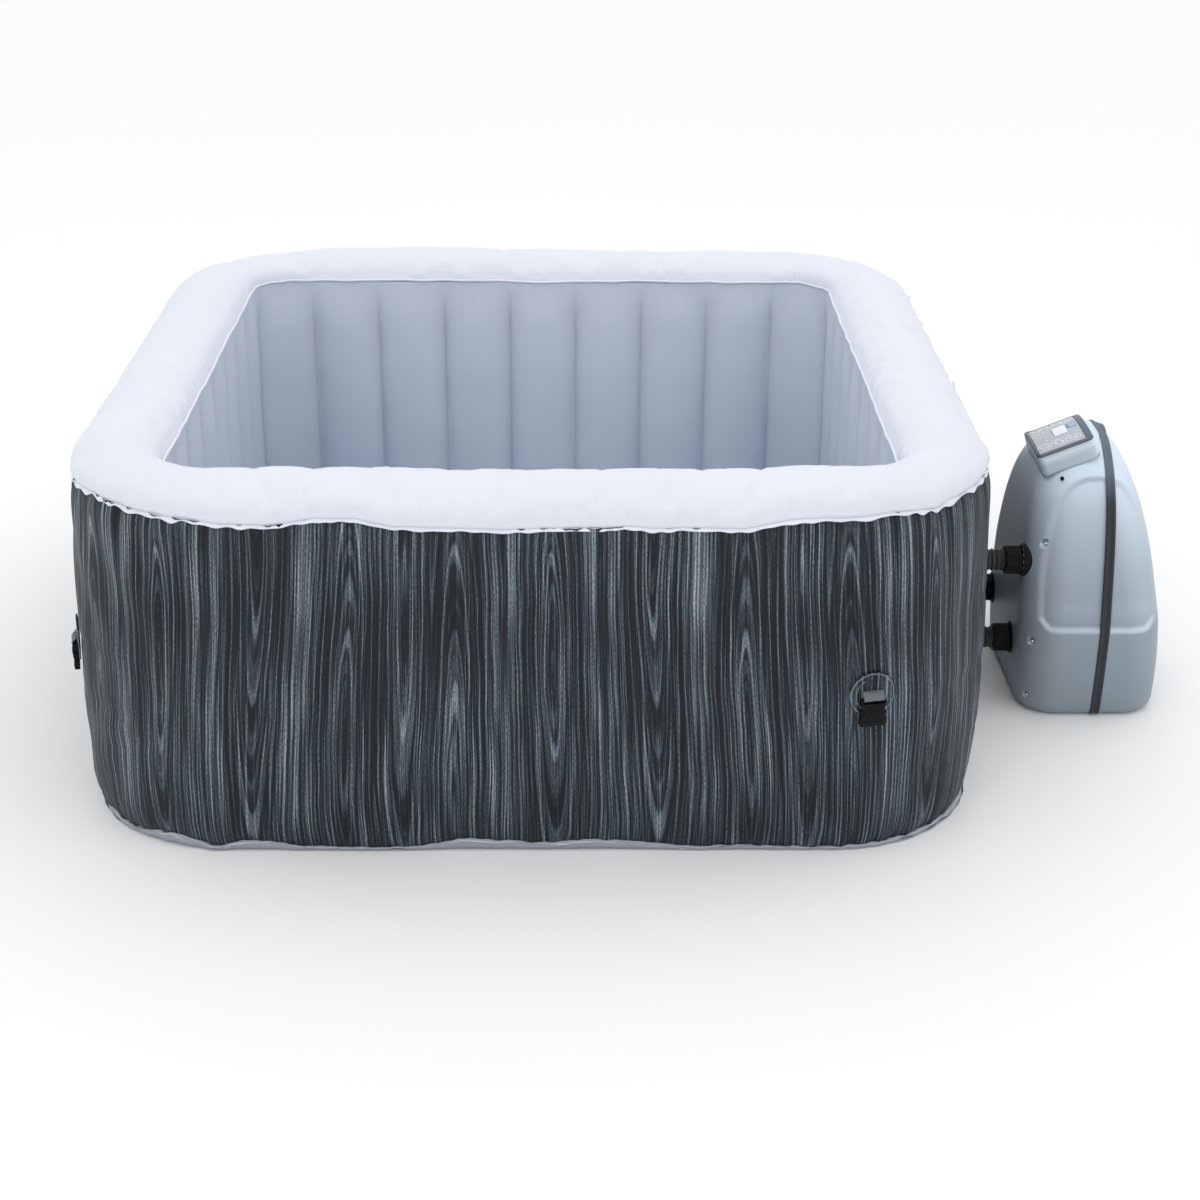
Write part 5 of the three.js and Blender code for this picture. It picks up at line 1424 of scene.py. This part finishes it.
for i, (kx, ky) in enumerate(KEYS):
    rr = []
    for e, h in ((0.0065, 0.0083), (0.0065, 0.0089), (0.0080, 0.0089), (0.0080, 0.0083)):
        o = pill(e, 0.0066)
        rr.append(np.stack([o[:, 0] + kx, o[:, 1] + ky, h + bow(o[:, 1] + ky)], -1))
    bits.append(outward(grid("b", np.stack(rr, 1), True, True, mats=[PALE])))
for x, y in ((-0.022, -0.024), (-0.022, -0.012), (-0.022, 0.012), (-0.022, 0.024), (-0.030, 0.0)):
    bits.append(decal("b", rrect(0.0022, 0.0014, 0.0012, 4, 2), x, y, 0.0086, PALE))
for x in (-0.028, -0.006, 0.016):
    bits.append(decal("b", rrect(0.0050, 0.0009, 0.0008, 3, 2), x, -0.0335, 0.0086, PALE))
    bits.append(decal("b", rrect(0.0050, 0.0009, 0.0008, 3, 2), x, 0.0335, 0.0086, PALE))
# plain blue square with three wave lines: water
bits.append(decal("b", rrect(0.0085, 0.0120, 0.0030, 6, 4), 0.0325, 0.0080, 0.0086, BLUE))
for k in (-1, 0, 1):
    yy = np.linspace(-0.0005, 0.0165, 30)
    xx = 0.0325 + k * 0.0044 + 0.0009 * np.sin(yy * 2 * pi / 0.0105)
    o = np.concatenate([np.stack([xx - 0.0007, yy], -1), np.stack([xx + 0.0007, yy], -1)[::-1]])
    bits.append(decal("b", o[::-1], 0, 0, 0.00895, PALE, 0.0002))
bpy.context.view_layer.update()
pr = merge("panel_print", bits)
pr.matrix_world = PM
put(pr, "root", "button_white")

# screw heads in the casing's recesses; the frame holds four, so heads are turned here for the other three
for i, (x_, y_, z_) in enumerate(RECESSES):
    if i in (0, 1, 2, 3):
        continue
    hd = lathe_x("recess_screw_%d" % (i + 1), [(x_ + 0.0012, 0.0004), (x_ + 0.0012, 0.0012), (x_ + 0.0020, 0.0014), (x_ + 0.0014, 0.0030), (x_ + 0.0026, 0.0036), (x_ + 0.0060, 0.0036), (x_ + 0.0060, 0.0004)], y_, z_, 24, [BLACK])
    if i == 6:
        hd.data.transform(Matrix.Translation(-Vector((x_, y_, z_))))
        hd.data.transform(Matrix.Translation(Vector((x_, y_, z_))) @ Matrix.Rotation(math.radians(70), 4, "Z") @ Matrix.Rotation(math.radians(30), 4, "Y"))
    put(hd, "root", "black_plastic")


# ---------------------------------------------------------------- works inside, dressed where the frame's own solids stay
WHITEP = plain("white_plastic_satin", (0.74, 0.76, 0.78), (0.82, 0.84, 0.86), 0.38, 14, 2400, 0.0001, edge=0.2)
PAPER = plain("filter_paper", (0.74, 0.76, 0.73), (0.85, 0.86, 0.84), 0.85, 90, 1600, 0.0006, stretch=(0.3, 1, 1))
STEEL = plain("brushed_steel", (0.48, 0.49, 0.50), (0.62, 0.63, 0.64), 0.28, 20, 900, 0.0001, metal=1.0, stretch=(0.06, 1, 1))
MOTOR = plain("motor_paint_dark", (0.030, 0.034, 0.038), (0.05, 0.055, 0.06), 0.45, 18, 1500, 0.0003, edge=0.5)
FOAM = plain("foam_pad", (0.17, 0.20, 0.235), (0.24, 0.27, 0.31), 0.9, 60, 700, 0.0009)
WEBS = plain("web_fabric", (0.44, 0.46, 0.48), (0.54, 0.56, 0.58), 0.75, 10, 1200, 0.0004, stretch=(1, 1, 3))
BOXM = plain("control_box_grey", (0.085, 0.10, 0.12), (0.12, 0.135, 0.155), 0.45, 18, 2200, 0.00015, edge=0.4)
DUCT = plain("duct_grey_vinyl", (0.34, 0.385, 0.44), (0.40, 0.445, 0.50), 0.42, 10, 1800, 0.0002)


def dress(node, mat, bevel=0.0006, seg=2):
    ob = NODES[node]
    ob.data.materials.clear()
    ob.data.materials.append(mat)
    if bevel:
        m = modify(ob, "BEVEL", width=bevel, segments=seg, limit_method="ANGLE", angle_limit=0.6)
        m.use_clamp_overlap = True
    m = modify(ob, "WEIGHTED_NORMAL", keep_sharp=False)


dress("tension_webs", WEBS, 0)
dress("filter_housing", WHITEP, 0.001, 3)
dress("filter_cap", WHITEP, 0.0009, 3)
dress("filter_cartridge", PAPER, 0.0005)
dress("return_grille", WHITEP, 0.0008, 3)
dress("air_duct", DUCT, 0.002, 3)
dress("pump_volute", BLACK, 0.001)
dress("pump_impeller", WHITEP, 0.0004)
dress("pump_motor", MOTOR, 0.001)
dress("heater_tube", STEEL, 0.0008)
dress("transfer_pipe", BLACK, 0.0006)
dress("air_blower", MOTOR, 0.001)
dress("blower_fan", WHITEP, 0.0004)
dress("control_box", BOXM, 0.003, 4)
dress("base_plate", STRIP, 0.0008)
for i in range(1, 5):
    dress("case_screw_%d" % i, STEEL, 0.0003)

# foam pad under the floor
pad = plate("foam_floor_pad", lambda e: np.stack(loop(0.6055 + e, 0.094 + e, (np.arange(360) / 360))[:2], -1),
            [(-0.003, 0.0025), (-0.0008, 0.0031), (0.0, 0.0045), (0.0, 0.0070), (-0.0008, 0.0084), (-0.003, 0.0089)], [FOAM], bowed=False)
put(pad, "root", "foam", "floor_pad")

# power cord: a round flex with a strain relief and a moulded plug
pts = [(1.100, 0.078, 0.040), (1.100, 0.090, 0.040), (1.100, 0.125, 0.038), (1.100, 0.160, 0.020), (1.096, 0.205, 0.006)]
for i in range(19):
    t = -0.6 + i / 18 * pi * 2.9
    pts.append((1.030 + math.cos(t) * (0.070 - i * 0.0012), 0.330 + math.sin(t) * (0.088 - i * 0.0012), 0.006 + (0.009 * min(1, (i - 8) / 4) if i > 8 else 0)))
C = np.array(pts)
# Catmull-Rom through the points
dense = []
for i in range(len(C) - 1):
    p0, p1, p2, p3 = C[max(i - 1, 0)], C[i], C[i + 1], C[min(i + 2, len(C) - 1)]
    for t in np.linspace(0, 1, 14, endpoint=False):
        dense.append(0.5 * ((2 * p1) + (-p0 + p2) * t + (2 * p0 - 5 * p1 + 4 * p2 - p3) * t * t + (-p0 + 3 * p1 - 3 * p2 + p3) * t**3))
dense = np.array(dense + [C[-1]])
T = np.gradient(dense, axis=0)
T /= np.linalg.norm(T, axis=1, keepdims=True)
A = np.cross(T, (0.02, 0.03, 1.0))
A /= np.linalg.norm(A, axis=1, keepdims=True)
B = np.cross(T, A)
rows = []
rad = 0.0037 + 0.0022 * np.exp(-np.arange(len(dense)) / 16.0) * (1 + 0.25 * np.sign(np.sin(np.arange(len(dense)) * 1.05)))
for a in np.linspace(0, 2 * pi, 16, endpoint=False):
    rows.append(dense + (A * math.cos(a) + B * math.sin(a)) * rad[:, None])
cord = grid("cord_flex", np.stack(rows, 1), False, True, mats=[HOSE], caps=True)
outward(cord)
end = C[-1]
plugp = plate("plug", lambda e: rrect(0.021 + e, 0.029 + e, 0.011), [(-0.006, 0.0035), (-0.001, 0.0045), (0.0, 0.008), (0.0005, 0.018), (0.0, 0.029), (-0.001, 0.0325), (-0.006, 0.0345)], [HOSE], bowed=False)
plugp.matrix_world = Matrix.Translation((end[0], end[1], 0))
grip = [extrude("gr%d" % i, rnd([(-0.0215, z), (0.0215, z), (0.0215, z - 0.0016), (-0.0215, z - 0.0016)], 0.0006), -0.0300, 0.0300, [HOSE], 0.0005) for i, z in enumerate((0.0145, 0.0185, 0.0225))]
for o in grip:
    o.matrix_world = Matrix.Translation((end[0], end[1], 0))
bpy.context.view_layer.update()
pc = merge("cord_and_plug", [cord, plugp, *grip])
put(pc, "root", "black_plastic", "power_cord")

# ---------------------------------------------------------------- stage, light, camera
bm = bmesh.new()
bmesh.ops.create_grid(bm, x_segments=1, y_segments=1, size=30)
me = bpy.data.meshes.new("floor")
bm.to_mesh(me)
bm.free()
floor = link(me, "floor")
floor.location.z = -0.0008
g = Graph("floor_pale")
tc = g.node("ShaderNodeTexCoord").outputs["Object"]
g.out(Base_Color=g.mix(g.noise(tc, 0.6, 2), (0.965, 0.965, 0.965), (0.98, 0.98, 0.98)), Roughness=0.9, Specular_IOR_Level=0.1)
me.materials.append(g.m)

w = bpy.data.worlds.new("soft_white")
bpy.context.scene.world = w
w.use_nodes = True
nt = w.node_tree
bg = nt.nodes["Background"]
bg.inputs[0].default_value = (0.985, 0.992, 1.0, 1)
bg.inputs[1].default_value = 1.0


def area(name, loc, at, size, energy, col=(1, 1, 1)):
    L = bpy.data.lights.new(name, "AREA")
    L.shape = "RECTANGLE"
    L.size, L.size_y = size
    L.energy = energy
    L.color = col
    o = bpy.data.objects.new(name, L)
    bpy.context.scene.collection.objects.link(o)
    o.location = loc
    o.rotation_euler = (Vector(at) - Vector(loc)).to_track_quat("-Z", "Y").to_euler()
    return o


area("overhead", (0.3, 0.0, 3.4), (0.2, 0.1, 0.4), (3.6, 3.2), 19, (1.0, 1.0, 1.0))
area("front_fill", (-1.6, -4.2, 2.2), (0.0, -0.3, 0.4), (2.6, 1.8), 7, (0.97, 0.985, 1.0))

cam = bpy.data.cameras.new("cam")
cam_o = bpy.data.objects.new("cam", cam)
bpy.context.scene.collection.objects.link(cam_o)
bpy.context.scene.camera = cam_o
pt_, yw, rl = 0.423, 0.0254, 0.0114
fwd = np.array([math.sin(yw) * math.cos(pt_), math.cos(yw) * math.cos(pt_), -math.sin(pt_)])
right = np.array([math.cos(yw), -math.sin(yw), 0])
up = np.cross(right, fwd)
r2 = math.cos(rl) * right + math.sin(rl) * up
u2 = -math.sin(rl) * right + math.cos(rl) * up
M = Matrix.Identity(4)
for i in range(3):
    M[i][0], M[i][1], M[i][2] = r2[i], u2[i], -fwd[i]
M[0][3], M[1][3], M[2][3] = 0.0712, -3.8134, 1.8055
cam_o.matrix_world = M
cam.sensor_width = 36
cam.lens = 2106.321 * 36 / 1200
cam.shift_x = -(624.32 - 600) / 1200
cam.shift_y = (615.74 - 600) / 1200
cam.clip_start, cam.clip_end = 0.05, 100
bpy.context.scene.view_settings.view_transform = "Standard"

bpy.context.view_layer.update()
